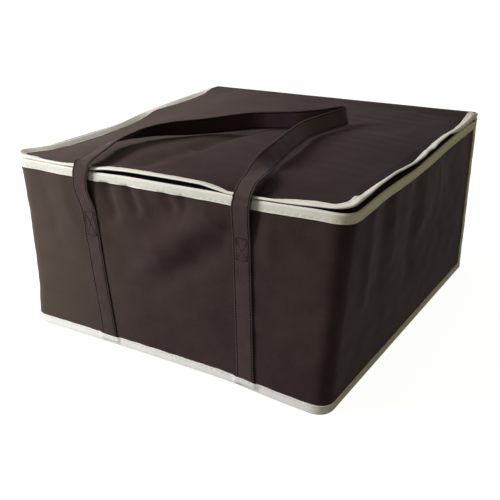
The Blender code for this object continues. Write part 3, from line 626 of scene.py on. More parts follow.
def plan_points(depth, back_y, step=PLAN_STEP):
    """A grid of x and y over the plan, inside the outline by a depth, with its front corners rounded."""
    half_x = HALF_WIDTH - depth
    low_y, high_y = -HALF_DEPTH + depth, back_y
    columns = round(2 * half_x / step)
    rows = round((high_y - low_y) / step)
    x, y = np.meshgrid(np.linspace(-half_x, half_x, columns), np.linspace(low_y, high_y, rows), indexing="ij")
    centre_x, centre_y = HALF_WIDTH - CORNER_RADIUS, -HALF_DEPTH + CORNER_RADIUS
    from_x, from_y = np.abs(x) - centre_x, centre_y - y
    corner = (from_x > 0) & (from_y > 0)
    reach = np.maximum(from_x, from_y)
    length = np.where(corner, np.hypot(from_x, from_y), 1.0)
    x = np.where(corner, np.sign(x) * (centre_x + from_x / length * reach), x)
    y = np.where(corner, centre_y - from_y / length * reach, y)
    return x, y


def nearest_wall(x, y):
    """The place along the wrap and the depth inside it of plan points near its edge."""
    centre_x, centre_y = HALF_WIDTH - CORNER_RADIUS, -HALF_DEPTH + CORNER_RADIUS
    from_x, from_y = np.abs(x) - centre_x, centre_y - y
    corner = (from_x > 0) & (from_y > 0)
    turn = np.arctan2(np.maximum(from_y, 0), np.maximum(from_x, GAP))
    side_depth, front_depth = HALF_WIDTH - np.abs(x), y + HALF_DEPTH
    side = side_depth < front_depth
    corner_depth = CORNER_RADIUS - np.hypot(from_x, from_y)
    depth = np.where(corner, corner_depth, np.minimum(side_depth, front_depth))
    left = np.where(side, HALF_DEPTH - y, front_s(x))
    right = np.where(side, RIGHT_START + y - centre_y, front_s(x))
    left = np.where(corner, LEFT_END + CORNER_RADIUS * turn, left)
    right = np.where(corner, RIGHT_START - CORNER_RADIUS * turn, right)
    return np.where(x < 0, left, right), depth


def inward(profile, thickness):
    """The inner face of sections given as [columns, rows, (depth, height)]."""
    along = np.gradient(profile, axis=1)
    along /= np.linalg.norm(along, axis=2, keepdims=True)
    return profile + thickness * np.stack([along[..., 1], -along[..., 0]], -1)


def solid_sheet(name, outer, inner, marks, look, ring=False):
    """A closed mesh between two grids of places [columns, rows, 3].

    marks are the (u, v) of each point on the flat cloth, which the materials read.
    """
    columns, rows = outer.shape[:2]
    count = columns * rows
    index = np.arange(count).reshape(columns, rows)
    here = index if ring else index[:-1]
    after = np.roll(index, -1, axis=0) if ring else index[1:]
    face = np.stack([here[:, :-1], after[:, :-1], after[:, 1:], here[:, 1:]], -1).reshape(-1, 4)
    strips = [face, face[:, ::-1] + count]
    top = np.stack([here[:, -1], after[:, -1], after[:, -1] + count, here[:, -1] + count], -1)
    bottom = np.stack([here[:, 0], after[:, 0], after[:, 0] + count, here[:, 0] + count], -1)
    strips += [top, bottom[:, ::-1]]
    if not ring:
        for column, flip in ((0, 1), (columns - 1, -1)):
            low, high = index[column, :-1], index[column, 1:]
            strips.append(np.stack([low, high, high + count, low + count], -1)[:, ::flip])
    places = np.concatenate([outer.reshape(-1, 3), inner.reshape(-1, 3)])
    flat = marks.reshape(-1, 2)
    layers = np.concatenate([np.zeros(count), np.ones(count)])[:, None]
    both_marks = np.hstack([np.vstack([flat, flat]), layers])
    return add_mesh(name, places, np.concatenate(strips).tolist(), both_marks, look)


def add_mesh(name, places, faces, marks, look, sharp_angle=60):
    mesh = bpy.data.meshes.new(name)
    mesh.from_pydata(places.tolist(), [], faces)
    mesh.attributes.new("cloth_place", "FLOAT_VECTOR", "POINT")
    mesh.attributes["cloth_place"].data.foreach_set("vector", marks.astype(np.float32).ravel())
    mesh.shade_smooth()
    if sharp_angle:
        mesh.set_sharp_from_angle(angle=math.radians(sharp_angle))
    mesh.materials.append(look)
    obj = bpy.data.objects.new(name, mesh)
    bpy.context.scene.collection.objects.link(obj)
    return obj


def marks_of(s, rows_at):
    """Flat cloth coordinates of a section carried along the outline."""
    return np.stack(np.broadcast_arrays(s[:, None], rows_at[None, :]), -1)


def swept(name, s, profile, thickness, look, place=wall_place, ring=False, free_edge=0):
    """A sheet with sections [columns, rows, (depth, height)] along the outline. The sections run upwards
    on the outside, so that the inner face lies to their right. Its cloth is measured from the row free_edge.
    """
    inner = inward(profile, thickness)
    lengths = np.linalg.norm(np.diff(profile[0], axis=0), axis=1)
    rows_at = np.concatenate([[0.0], np.cumsum(lengths)])
    rows_at = np.abs(rows_at - rows_at[free_edge])
    faces = [place(s[:, None], side[..., 0], side[..., 1]) for side in (profile, inner)]
    return solid_sheet(name, *faces, marks_of(s, rows_at), look, ring)


def same_profile(s, points):
    return np.broadcast_to(np.array(points, float), (len(s), len(points), 2)).copy()


def stacked_rows(columns):
    """Sections [places, rows, (depth, height)] from rows of depths and heights."""
    return np.stack([np.stack(np.broadcast_arrays(depth, height), -1) for depth, height in columns], 1)


def level_profile(s, depth, bottom, top, step=WALL_STEP):
    heights = np.linspace(bottom, top, max(2, round((top - bottom) / step)) + 1)
    return same_profile(s, [(depth, height) for height in heights])


def capsules(name, starts, ends, outs, radius, look, sides=5):
    """Short threads or teeth from starts to ends, each arched outwards a little and rounded at both ends."""
    shares = np.array([0.0, 0.12, 0.5, 0.88, 1.0])
    widths = np.array([0.35, 0.9, 1.0, 0.9, 0.35]) * radius
    arch = np.array([-0.6, 0.1, 0.5, 0.1, -0.6]) * radius
    along = ends - starts
    along /= np.linalg.norm(along, axis=1, keepdims=True)
    outs = outs - along * np.sum(outs * along, axis=1, keepdims=True)
    outs /= np.linalg.norm(outs, axis=1, keepdims=True)
    across = np.cross(along, outs)
    middles = starts[:, None] + (ends - starts)[:, None] * shares[None, :, None]
    middles = middles + outs[:, None] * arch[None, :, None]
    angles = np.arange(sides) * 2 * math.pi / sides
    spokes = outs[:, None] * np.cos(angles)[None, :, None]
    spokes = spokes + across[:, None] * np.sin(angles)[None, :, None]
    rings = middles[:, :, None] + spokes[:, None] * widths[None, :, None, None]
    count, steps = len(starts), len(shares)
    index = np.arange(count * steps * sides).reshape(count, steps, sides)
    turned = np.roll(index, -1, axis=2)
    walls = np.stack([index[:, :-1], turned[:, :-1], turned[:, 1:], index[:, 1:]], -1)
    walls = walls.reshape(-1, 4)[:, ::-1]
    caps = np.concatenate([index[:, 0], index[:, -1][:, ::-1]])
    places = rings.reshape(-1, 3)
    return add_mesh(name, places, walls.tolist() + caps.tolist(), places, look, sharp_angle=None)


def stitch_runs(name, runs, pitch, length, look, radius=THREAD):
    """Stitches along runs, each with its places [n, 3], its outward directions [n, 3] and, for a seam round
    the bag, its places along the outline.
    """
    starts, ends, outs = [], [], []
    for places, out, *along in runs:
        if along:
            travelled = along[0]
            first, last = math.ceil(travelled[0] / pitch), math.floor(travelled[-1] / pitch)
            middles = (np.arange(first, last) + 0.5) * pitch
        else:
            travelled = np.concatenate([[0.0], np.cumsum(np.linalg.norm(np.diff(places, axis=0), axis=1))])
            count = max(1, int(travelled[-1] / pitch))
            middles = (np.arange(count) + 0.5) * travelled[-1] / count

        def at(distance, values):
            return np.stack([np.interp(distance, travelled, values[:, axis]) for axis in range(3)], -1)

        starts.append(at(middles - length / 2, places))
        ends.append(at(middles + length / 2, places))
        outs.append(at(middles, out))
    return capsules(name, *[np.concatenate(group) for group in (starts, ends, outs)], radius, look)


def seam_run(s, depth, height, place=wall_place, outward=None):
    """A run along the outline for stitch_runs. outward is the direction in (depth, height)."""
    step = GAP
    lift_depth, lift_height = outward or (-1.0, 0.0)
    start = place(s, depth, height)
    out = place(s, depth + lift_depth * step, height + lift_height * step) - start
    return start, out, s


def add_node(tree, kind, inputs=None, **settings):
    """A shader node with its settings and its inputs. An input is a value or another node's socket."""
    made = tree.nodes.new(kind)
    for key, value in settings.items():
        setattr(made, key, value)
    for socket, value in (inputs or {}).items():
        if isinstance(value, bpy.types.NodeSocket):
            tree.links.new(value, made.inputs[socket])
        else:
            made.inputs[socket].default_value = value
    return made


def start_material(name, **shader_values):
    look = bpy.data.materials.new(name)
    look.use_nodes = True
    shader = look.node_tree.nodes["Principled BSDF"]
    for socket, value in shader_values.items():
        shader.inputs[socket.replace("_", " ").title()].default_value = value
    return look, look.node_tree, shader


def cloth_marks(tree):
    return add_node(tree, "ShaderNodeAttribute", attribute_name="cloth_place").outputs["Vector"]


def noise(tree, vector, scale, detail=3.0, roughness=0.55):
    inputs = {"Vector": vector, "Scale": scale, "Detail": detail, "Roughness": roughness}
    return add_node(tree, "ShaderNodeTexNoise", inputs).outputs["Fac"]


def ranged(tree, value, low, high, out_low, out_high):
    inputs = {"Value": value, "From Min": low, "From Max": high, "To Min": out_low, "To Max": out_high}
    return add_node(tree, "ShaderNodeMapRange", inputs).outputs["Result"]


def opaque(colour):
    """A colour with its full cover, or the socket that it comes from."""
    return colour if isinstance(colour, bpy.types.NodeSocket) else (*colour, 1.0)


def mixed(tree, share, first, second):
    """The colour at a share of the way from one colour to another."""
    inputs = {0: share, 6: opaque(first), 7: opaque(second)}
    return add_node(tree, "ShaderNodeMix", inputs, data_type="RGBA").outputs[2]


def maths(tree, operation, *values):
    return add_node(tree, "ShaderNodeMath", dict(enumerate(values)), operation=operation).outputs[0]


def dots(tree, vector, pitch, radius_share):
    """1 in each dot of a slanting lattice and 0 between them."""
    turned = add_node(
        tree,
        "ShaderNodeMapping",
        {"Vector": vector, "Rotation": (0.0, 0.0, math.radians(45)), "Scale": (1 / pitch, 1 / pitch, 0.0)},
    ).outputs["Vector"]
    cells = add_node(
        tree,
        "ShaderNodeTexVoronoi",
        {"Vector": turned, "Scale": 1.0, "Randomness": 0.0},
        voronoi_dimensions="2D",
    )
    return ranged(tree, cells.outputs["Distance"], radius_share, radius_share * 0.55, 0.0, 1.0)


def add_bump(tree, shader, height, distance, strength=1.0):
    inputs = {"Height": height, "Distance": distance, "Strength": strength}
    bump = add_node(tree, "ShaderNodeBump", inputs)
    tree.links.new(bump.outputs["Normal"], shader.inputs["Normal"])


def painted_light_along(tree, marks, colour, ends, strength=1.0):
    """Painted light and shade: a colour that turns to another over each stretch along the cloth: (start,
    stop, colour).
    """
    if not ends:
        return colour
    along = add_node(tree, "ShaderNodeSeparateXYZ", {"Vector": marks}).outputs["X"]
    for start, stop, painted_colour in ends:
        colour = mixed(tree, ranged(tree, along, start, stop, 0.0, strength), colour, painted_colour)
    return colour


def webbing_look(tree, marks, colour, inner):
    """Turns a cloth's colour to the inner one where the marks count as 1, and darkens a band along each of
    the two seams: partly the soil of the thread and partly painted shade in the groove that the thread pulls
    in.
    """
    parts = add_node(tree, "ShaderNodeSeparateXYZ", {"Vector": marks})
    colour = mixed(tree, parts.outputs["Z"], colour, inner)
    across = maths(tree, "ABSOLUTE", parts.outputs["Y"])
    off = maths(tree, "ABSOLUTE", maths(tree, "SUBTRACT", across, STRAP_SEAM * STRAP_WIDTH / 2))
    # A dark band along each seam: partly soiled thread, partly painted shade in the seam's groove
    seam = ranged(tree, off, 0.0004, 0.0011, 0.95, 0.0)
    return mixed(tree, seam, colour, (0.006, 0.003, 0.004))


def brown_cloth(name, dark, light, ends=(), inner=None, sheen=0.05, roughness=0.70, shine=0.017):
    """Non-woven cloth: an embossed lattice of dots, loose fibres, uneven tone, a soft sheen, and painted
    light and shade over the stretches in ends.

    With an inner colour it is webbing, and inner is the colour of its inner side.
    """
    look, tree, shader = start_material(name, sheen_weight=sheen, sheen_roughness=0.45)
    shader.inputs["Sheen Tint"].default_value = (0.80, 0.72, 0.90, 1.0)
    shader.inputs["Specular IOR Level"].default_value = shine
    marks = cloth_marks(tree)
    tone = noise(tree, marks, 7.0, 2.0)
    patch = noise(tree, marks, 42.0, 3.0)
    fibres = noise(tree, marks, 1500.0, 4.0, 0.7)
    shade = maths(tree, "ADD", maths(tree, "MULTIPLY", tone, 0.6), maths(tree, "MULTIPLY", patch, 0.4))
    colour = mixed(tree, ranged(tree, shade, 0.35, 0.65, 0.0, 1.0), dark, light)
    # Painted light and shade over the stretches in ends
    colour = painted_light_along(tree, marks, colour, ends)
    emboss = dots(tree, marks, DOT_PITCH, 0.42)
    colour = mixed(tree, maths(tree, "MULTIPLY", emboss, 0.5), colour, (0.018, 0.011, 0.011))
    colour = mixed(tree, ranged(tree, fibres, 0.55, 0.75, 0.0, 0.22), colour, (0.16, 0.13, 0.12))
    if inner:
        colour = webbing_look(tree, marks, colour, inner)
    tree.links.new(colour, shader.inputs["Base Color"])
    tree.links.new(ranged(tree, emboss, 0.0, 1.0, roughness, roughness - 0.16), shader.inputs["Roughness"])
    relief = maths(tree, "SUBTRACT", maths(tree, "MULTIPLY", fibres, 0.35), emboss)
    add_bump(tree, shader, relief, 0.00012, 0.8)
    return look


def needle_hole_shade(tree, marks, line, pitch):
    """1 at each needle hole of a seam that runs at a distance from the cloth's free edge, where shade is
    painted into the hole.
    """
    parts = add_node(tree, "ShaderNodeSeparateXYZ", {"Vector": marks})
    step = maths(tree, "PINGPONG", parts.outputs["X"], pitch / 2)
    off = maths(tree, "ABSOLUTE", maths(tree, "SUBTRACT", parts.outputs["Y"], line))
    squares = maths(tree, "ADD", maths(tree, "POWER", step, 2.0), maths(tree, "POWER", off, 2.0))
    return ranged(tree, maths(tree, "SQRT", squares), 0.0004, 0.0010, 1.0, 0.0)


def cream_tape(name, pale=CREAM, deep=DEEP_CREAM, ends=()):
    """Cream binding tape: a fine rib, a yellower tone in patches, a little dirt, painted shade in its needle
    holes, and painted light and shade over the stretches in ends.
    """
    look, tree, shader = start_material(name, sheen_weight=0.1, sheen_roughness=0.5)
    shader.inputs["Specular IOR Level"].default_value = 0.3
    marks = cloth_marks(tree)
    mapping = add_node(tree, "ShaderNodeMapping", {"Vector": marks, "Scale": (1.0, 0.12, 1.0)})
    rib = noise(tree, mapping.outputs["Vector"], 1900.0, 2.0, 0.6)
    patch = noise(tree, marks, 60.0, 4.0)
    dirt = noise(tree, marks, 240.0, 5.0, 0.65)
    colour = mixed(tree, ranged(tree, patch, 0.35, 0.65, 0.0, 1.0), pale, deep)
    colour = mixed(tree, ranged(tree, dirt, 0.60, 0.80, 0.0, 0.30), colour, (0.49, 0.47, 0.41))
    colour = mixed(tree, ranged(tree, rib, 0.40, 0.75, 0.0, 0.18), colour, (0.57, 0.55, 0.50))
    # Painted light and shade over the stretches in ends
    colour = painted_light_along(tree, marks, colour, ends, strength=0.85)
    holes = needle_hole_shade(tree, marks, SEAM_LINE, SEAM_PITCH)
    # Painted shade: each needle hole is darkened as the shade inside it
    colour = mixed(tree, maths(tree, "MULTIPLY", holes, 0.5), colour, (0.30, 0.28, 0.22))
    tree.links.new(colour, shader.inputs["Base Color"])
    tree.links.new(ranged(tree, dirt, 0.3, 0.7, 0.70, 0.88), shader.inputs["Roughness"])
    add_bump(tree, shader, maths(tree, "ADD", rib, maths(tree, "MULTIPLY", dirt, 0.5)), 0.00014, 0.7)
    return look


def silver_foil():
    """Foil laminated on a thin foam: bright, crinkled, with a quilting of small pressed squares."""
    look, tree, shader = start_material("silver foil", metallic=0.92)
    marks = cloth_marks(tree)
    cells = {"Vector": marks, "Scale": 95.0}
    crinkle = add_node(
        tree, "ShaderNodeTexVoronoi", cells, feature="SMOOTH_F1", voronoi_dimensions="2D"
    ).outputs["Distance"]
    fine = noise(tree, marks, 420.0, 4.0, 0.6)
    worn = noise(tree, marks, 18.0, 4.0)
    colour = mixed(tree, ranged(tree, worn, 0.4, 0.7, 0.0, 1.0), (0.56, 0.57, 0.58), (0.42, 0.43, 0.435))
    tree.links.new(colour, shader.inputs["Base Color"])
    tree.links.new(ranged(tree, worn, 0.3, 0.7, 0.26, 0.46), shader.inputs["Roughness"])
    add_bump(tree, shader, maths(tree, "ADD", crinkle, maths(tree, "MULTIPLY", fine, 0.4)), 0.0011, 0.7)
    return look


def plain_grain(name, dark, light, roughness, scale, metallic=0.0, bump=0.0001, coordinates=None, shine=0.2):
    """A finish whose colour, roughness and surface vary with one noise, for foam, board, thread and paint."""
    look, tree, shader = start_material(name, metallic=metallic)
    shader.inputs["Specular IOR Level"].default_value = shine
    if coordinates:
        vector = add_node(tree, "ShaderNodeTexCoord").outputs[coordinates]
    else:
        vector = cloth_marks(tree)
    grain = noise(tree, vector, scale, 5.0, 0.6)
    wide = noise(tree, vector, scale / 12, 2.0)
    colour = mixed(tree, ranged(tree, grain, 0.35, 0.65, 0.0, 1.0), dark, light)
    colour = mixed(tree, ranged(tree, wide, 0.4, 0.7, 0.0, 0.5), colour, tuple(0.7 * value for value in dark))
    tree.links.new(colour, shader.inputs["Base Color"])
    rough = ranged(tree, wide, 0.3, 0.7, roughness - 0.07, roughness + 0.07)
    tree.links.new(rough, shader.inputs["Roughness"])
    add_bump(tree, shader, grain, bump, 0.6)
    return look


def zip_tape_look():
    """Black woven zip tape with a twill slant."""
    look, tree, shader = start_material("zip tape")
    shader.inputs["Specular IOR Level"].default_value = 0.02
    marks = cloth_marks(tree)
    turned = add_node(
        tree, "ShaderNodeMapping", {"Vector": marks, "Rotation": (0.0, 0.0, math.radians(35))}
    ).outputs["Vector"]
    waves = add_node(tree, "ShaderNodeTexWave", {"Vector": turned, "Scale": 480.0, "Distortion": 1.5})
    twill = waves.outputs["Fac"]
    colour = mixed(tree, twill, (0.012, 0.0085, 0.013), (0.028, 0.020, 0.027))
    tree.links.new(colour, shader.inputs["Base Color"])
    tree.links.new(ranged(tree, twill, 0.0, 1.0, 0.85, 0.7), shader.inputs["Roughness"])
    add_bump(tree, shader, twill, 0.0001, 0.7)
    return look


CLOTH = brown_cloth("brown cloth", BROWN, PALE_BROWN)
# Painted light: the walls' cloth turns lighter and yellower from the middle of the front round the left
# corner and along the left side, where the light falls strongest
LEFT_LIT_WALL_CLOTH = brown_cloth(
    "brown wall cloth with painted light",
    BROWN,
    PALE_BROWN,
    ends=((0.72, 0.50, (0.090, 0.069, 0.056)),),
)
# Painted light and shade: a slightly lighter copy of the brown cloth for the lid, which turns lighter towards
# its left edge and darker towards its right, as the light falls across it
LID_CLOTH = brown_cloth(
    "brown lid cloth with painted light and shade",
    (0.042, 0.0268, 0.0262),
    (0.062, 0.0420, 0.0405),
    ends=((0.00, -0.26, (0.104, 0.078, 0.070)), (0.00, 0.26, (0.024, 0.0160, 0.0155))),
    shine=0.007,
)
WEBBING = brown_cloth(
    "brown webbing",
    (0.054, 0.0360, 0.0350),
    (0.082, 0.0570, 0.0540),
    inner=(0.048, 0.0280, 0.0360),
    sheen=0.08,
    roughness=0.60,
    shine=0.02,
)
# Painted light: the lid tape turns whiter along the left side, which faces away from the lamps
LID_CREAM = cream_tape("cream lid tape", ends=((LEFT_END + 0.02, LEFT_END - 0.04, (0.85, 0.85, 0.84)),))
# The rim tape takes the painted shade tint from the front right corner on, along the right side
RIM_CREAM = cream_tape("cream rim tape", ends=((FRONT_END, RIGHT_START, SHADED_TAPE_TINT),))
# Painted light: the bottom tape is a whiter, bluer copy of the cream tape, standing in for the light that the
# floor throws on it. From the front right corner on it takes the painted shade tint
FLOOR_LIT_BOTTOM_CREAM = cream_tape(
    "cream bottom tape with painted floor light", (0.88, 0.88, 0.90), (0.83, 0.83, 0.83), ends=((FRONT_END, RIGHT_START, SHADED_TAPE_TINT),)
)
# The corner tapes take the painted shade tint over their whole length
CORNER_CREAM = cream_tape("cream corner tape", ends=((-1.0, -0.5, SHADED_TAPE_TINT),))
FOIL = silver_foil()
ZIP_CLOTH = zip_tape_look()
FOAM_LOOK = plain_grain("white foam", (0.76, 0.76, 0.73), (0.86, 0.86, 0.84), 0.85, 700.0)
BOARD_LOOK = plain_grain(
    "grey board", (0.24, 0.23, 0.21), (0.34, 0.33, 0.31), 0.75, 500.0, coordinates="Object"
)
CREAM_THREAD = plain_grain("cream thread", (0.66, 0.63, 0.50), (0.78, 0.76, 0.66), 0.7, 3000.0)
DARK_THREAD = plain_grain("dark thread", (0.010, 0.006, 0.008), (0.024, 0.016, 0.018), 0.7, 3000.0)
COIL_LOOK = plain_grain("black coil", (0.010, 0.007, 0.010), (0.020, 0.015, 0.019), 0.6, 900.0, shine=0.02)
METAL = plain_grain(
    "black painted metal",
    (0.014, 0.013, 0.014),
    (0.030, 0.028, 0.029),
    roughness=0.34,
    scale=600.0,
    metallic=0.5,
    bump=0.00004,
    coordinates="Object",
)


def finish_piece(obj, body, slot, *nodes):
    """Gives a piece its body and hides the nodes that it stands for. Its material slot, slot, is not used."""
    if body:
        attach(obj, body)
    if nodes:
        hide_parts(*nodes)
    return obj


def make_walls():
    edge = FABRIC + GAP
    low, high = TAPE + GAP, RIM_HEIGHT - TAPE - GAP
    s = stations(edge, WRAP_END - edge, WALL_STEP)
    walls = swept("front_and_side_cloth", s, level_profile(s, 0.0, low, high), FABRIC, LEFT_LIT_WALL_CLOTH)
    finish_piece(walls, "bag_body", "cloth", "side_wall_shell")
    s = np.linspace(WRAP_END + GAP, RING_END - GAP, round(BODY_WIDTH / WALL_STEP))
    back = swept("back_cloth", s, level_profile(s, 0.0, low, high), FABRIC, CLOTH)
    finish_piece(back, "bag_body", "cloth", "back_wall_shell")


def make_foam():
    """The foam pads of the four walls. Those of the sides meet the front one past its corners."""
    front_from, front_to = BODY_DEPTH - (CORNER_RADIUS + CORNER_ROOM), RIGHT_START + CORNER_ROOM
    rear = FOAM_IN + FOAM + GAP
    back_places = np.linspace(WRAP_END + FOAM_IN, RING_END - FOAM_IN, round(BODY_WIDTH / WALL_STEP))
    for name, s, high in (
        ("left_wall_foam", stations(rear, front_from - GAP, WALL_STEP), INSIDE_HIGH),
        ("front_wall_foam", stations(front_from, front_to, WALL_STEP), INSIDE_HIGH),
        ("right_wall_foam", stations(front_to + GAP, WRAP_END - rear, WALL_STEP), INSIDE_HIGH),
        ("back_wall_foam", back_places, BACK_INSIDE_HIGH),
    ):
        profile = level_profile(s, FOAM_IN + FOAM_SUNK, INSIDE_LOW, high)
        pad = swept(f"{name}_pad", s, profile, FOAM - FOAM_THINNED, FOAM_LOOK)
        finish_piece(pad, "bag_body", "foam", name)


def crinkled(profile, s, name, high, fade=1.0):
    """Presses a foil's section inwards by its crinkles, which fade towards its lower and upper ends."""
    heights = profile[..., 1]
    crinkle = np.clip(uneven(name, s[:, None], heights) + CRINKLE_LEVEL, 0, None)
    ends = np.sin(np.pi * (heights - INSIDE_LOW) / (high - INSIDE_LOW))
    profile[..., 0] += WALL_CRINKLE * crinkle * ends * fade
    return profile


def make_side_foil():
    """The foil of the front and the sides, which runs on outwards under the rim tape."""
    end = LINER_IN + LINER + GAP
    s = stations(end, WRAP_END - end, FOIL_STEP)
    profile = level_profile(s, LINER_IN, INSIDE_LOW, INSIDE_HIGH, FOIL_STEP)
    profile = crinkled(profile, s, "side foil", INSIDE_HIGH)
    bend = same_profile(s, [(FOAM_IN, RIM_HEIGHT - TAPE_REACH - GAP), (FOAM_IN, RIM_HEIGHT - TAPE - GAP)])
    foil = swept("side_foil", s, np.concatenate([profile, bend], axis=1), LINER, FOIL)
    finish_piece(foil, "bag_body", "foil", "side_wall_liner")


def make_back_foil():
    s = np.linspace(WRAP_END + LINER_IN, RING_END - LINER_IN, round(BODY_WIDTH / FOIL_STEP))
    profile = level_profile(s, LINER_IN, INSIDE_LOW, BACK_INSIDE_HIGH, FOIL_STEP)
    profile = crinkled(profile, s, "back foil", RIM_HEIGHT, edge_fade(s, BACK_CRINKLE_FADE)[:, None])
    foil = swept("back_foil", s, profile, LINER, FOIL)
    finish_piece(foil, "bag_body", "foil", "back_wall_liner")


def edge_fade(s, width):
    """0 at both ends of a run of places, and 1 further in than the width."""
    return smoothstep(np.minimum(s - s[0], s[-1] - s) / width)


def plan_sheet(name, x, y, top, thickness, look):
    """A flat-lying sheet under a height field over plan points."""
    upper = lean(np.stack([x, y, top], -1))
    lower = lean(np.stack([x, y, top - thickness], -1))
    return solid_sheet(name, upper, lower, np.stack([x, y], -1), look)


def make_floor():
    depth = SEAM_TAPE_IN + GAP
    x, y = plan_points(depth, HALF_DEPTH - depth, FLOOR_STEP)
    s, inside = nearest_wall(x, y)
    lift = read_rows(FLOOR_LIFT, s) * (1 - smoothstep((inside - depth) / (FLOOR_INSET - depth)))
    cloth = plan_sheet("bottom_cloth", x, y, FABRIC + lift, FABRIC, CLOTH)
    finish_piece(cloth, "bag_body", "cloth", "bottom_shell")
    x, y = plan_points(FLOOR_INSET, HALF_DEPTH - FLOOR_INSET, FLOOR_PAD_STEP)
    top = FABRIC + GAP + BOARD + GAP + FOAM
    pad = plan_sheet("bottom_foam_pad", x, y, top + 0 * x, FOAM, FOAM_LOOK)
    finish_piece(pad, "bag_body", "foam", "bottom_foam")
    make_floor_foil(top + GAP)


def make_floor_foil(height):
    """The foil of the bottom, crinkled, with a turned-up rim."""
    rim_width, rim_fade, rim_rise = 0.0066, 0.0060, 0.0125
    crinkle_height, crinkle_level = 0.0011, 0.8
    x, y = plan_points(LINER_IN + LINER + GAP + LINER, HALF_DEPTH - LINER_IN - 2 * LINER - GAP)
    s, depth = nearest_wall(x, y)
    depth = np.minimum(depth, HALF_DEPTH - y)
    rim = 1 - smoothstep((depth - rim_width) / rim_fade)
    crinkle = np.clip(uneven("bottom foil", x, y) + crinkle_level, 0, None)
    top = height + LINER + crinkle_height * crinkle * (1 - rim) + rim_rise * rim
    foil = plan_sheet("bottom_foil", x, y, top, LINER, FOIL)
    finish_piece(foil, "bag_body", "foil", "bottom_liner")


def seam_dip(s, distance):
    """How far a seam sinks its tape at a distance from its line, a little more at each stitch."""
    pull = 0.55 + 0.45 * np.cos(2 * math.pi * s / SEAM_PITCH)
    return SEAM_SINK * pull[:, None] * np.exp(-((distance / SEAM_SPREAD) ** 2))


def make_rim_tape():
    outer_rows = 8
    s = stations(SIDE_TAPE_END, WRAP_END - SIDE_TAPE_END, TAPE_STEP)
    low = RIM_HEIGHT - TAPE_REACH
    middle, half = (TAPE_OUT + INNER_TAPE_IN) / 2, (INNER_TAPE_IN - TAPE_OUT) / 2
    leg = TAPE_REACH - half
    points = [(TAPE_OUT, low + leg * step / outer_rows) for step in range(outer_rows)]
    for angle in np.linspace(0, math.pi, 7):
        points.append((middle - half * math.cos(angle), RIM_HEIGHT - half + half * math.sin(angle)))
    points += [(INNER_TAPE_IN, RIM_HEIGHT - half - share * leg) for share in (0.35, 0.7, 1.0)]
    profile = same_profile(s, points)
    outer_leg = (np.arange(len(points)) < outer_rows)[None, :]
    wave = uneven("rim tape", s, 0 * s)
    profile[:, :, 1] += wave[:, None] * outer_leg * np.linspace(1, 0, len(points))[None, :]
    profile[..., 0] += seam_dip(s, profile[..., 1] - low - SEAM_LINE) * outer_leg
    tape = swept("rim_tape", s, profile, TAPE, RIM_CREAM)
    finish_piece(tape, "bag_body", "binding", "rim_binding")
    seam = seam_run(s, TAPE_OUT + THREAD_SUNK, low + SEAM_LINE)
    stitches = stitch_runs("rim_stitches", [seam], SEAM_PITCH, SEAM_LENGTH, CREAM_THREAD)
    finish_piece(stitches, "bag_body", "binding")


def over_leg_share(s):
    """1 where the bottom tape runs over the foot of a leg, and 0 away from all four."""
    tuck, fade = 0.0008, 0.0070
    share = 0.0 * s
    for foot in (front_s(FRONT_FEET_X[0]), front_s(FRONT_FEET_X[1]), back_s(BACK_LEG_X), back_s(-BACK_LEG_X)):
        share += 1 - smoothstep((np.abs(s - foot) - STRAP_WIDTH / 2 - tuck) / fade)
    return share


def make_bottom_tape():
    fold, turn_up, outer_rows = 0.0006, 0.0008, 8
    s = stations(0.0, RING_END, TAPE_STEP)[:-1]
    points = [
        (SEAM_TAPE_IN, TAPE_REACH),
        (SEAM_TAPE_IN, turn_up),
        (SEAM_TAPE_IN - fold, 0.0),
        (TAPE_OUT + fold, 0.0),
    ]
    first_outer = len(points)
    points += [(TAPE_OUT, fold + (TAPE_REACH - fold) * step / outer_rows) for step in range(outer_rows + 1)]
    profile = same_profile(s, points)
    outer_leg = (np.arange(len(points)) >= first_outer)[None, :]
    over_legs = over_leg_share(s)
    rise = np.clip(profile[..., 1] / TAPE_REACH, 0, 1)
    profile[..., 0] -= (STRAP + GAP) * over_legs[:, None] * smoothstep(rise * 1.6) * outer_leg
    profile[..., 1] += uneven("bottom tape", s, 0 * s)[:, None] * rise**4 * outer_leg
    profile[..., 0] += seam_dip(s, profile[..., 1] - TAPE_REACH + SEAM_LINE) * outer_leg
    tape = swept("bottom_tape", s, profile, TAPE, FLOOR_LIT_BOTTOM_CREAM, ring=True, free_edge=-1)
    finish_piece(tape, "bag_body", "binding", "bottom_binding")
    out = TAPE_OUT + THREAD_SUNK - (STRAP + GAP) * over_legs
    whole_ring = stations(0.0, RING_END, TAPE_STEP)
    seam = seam_run(whole_ring, np.append(out, out[0]), TAPE_REACH - SEAM_LINE)
    stitches = stitch_runs("bottom_stitches", [seam], SEAM_PITCH, SEAM_LENGTH, CREAM_THREAD)
    finish_piece(stitches, "bag_body", "binding")


def corner_plan(side):
    """The plan of an upright tape folded round a back corner. side is -1 on the left and 1 on the right."""
    shares, round_off = (1.0, 0.8, 0.55, 0.3, 0.1), 0.0014
    corner_x, corner_y = HALF_WIDTH - TAPE_OUT - round_off, HALF_DEPTH - TAPE_OUT - round_off
    plan = [(HALF_WIDTH - TAPE_OUT, HALF_DEPTH - CORNER_REACH * share) for share in shares]
    for angle in np.linspace(0, math.pi / 2, 5):
        plan.append((corner_x + round_off * math.cos(angle), corner_y + round_off * math.sin(angle)))
    plan += [(HALF_WIDTH - CORNER_REACH * share, HALF_DEPTH - TAPE_OUT) for share in reversed(shares)]
    return np.array(plan)[::side]


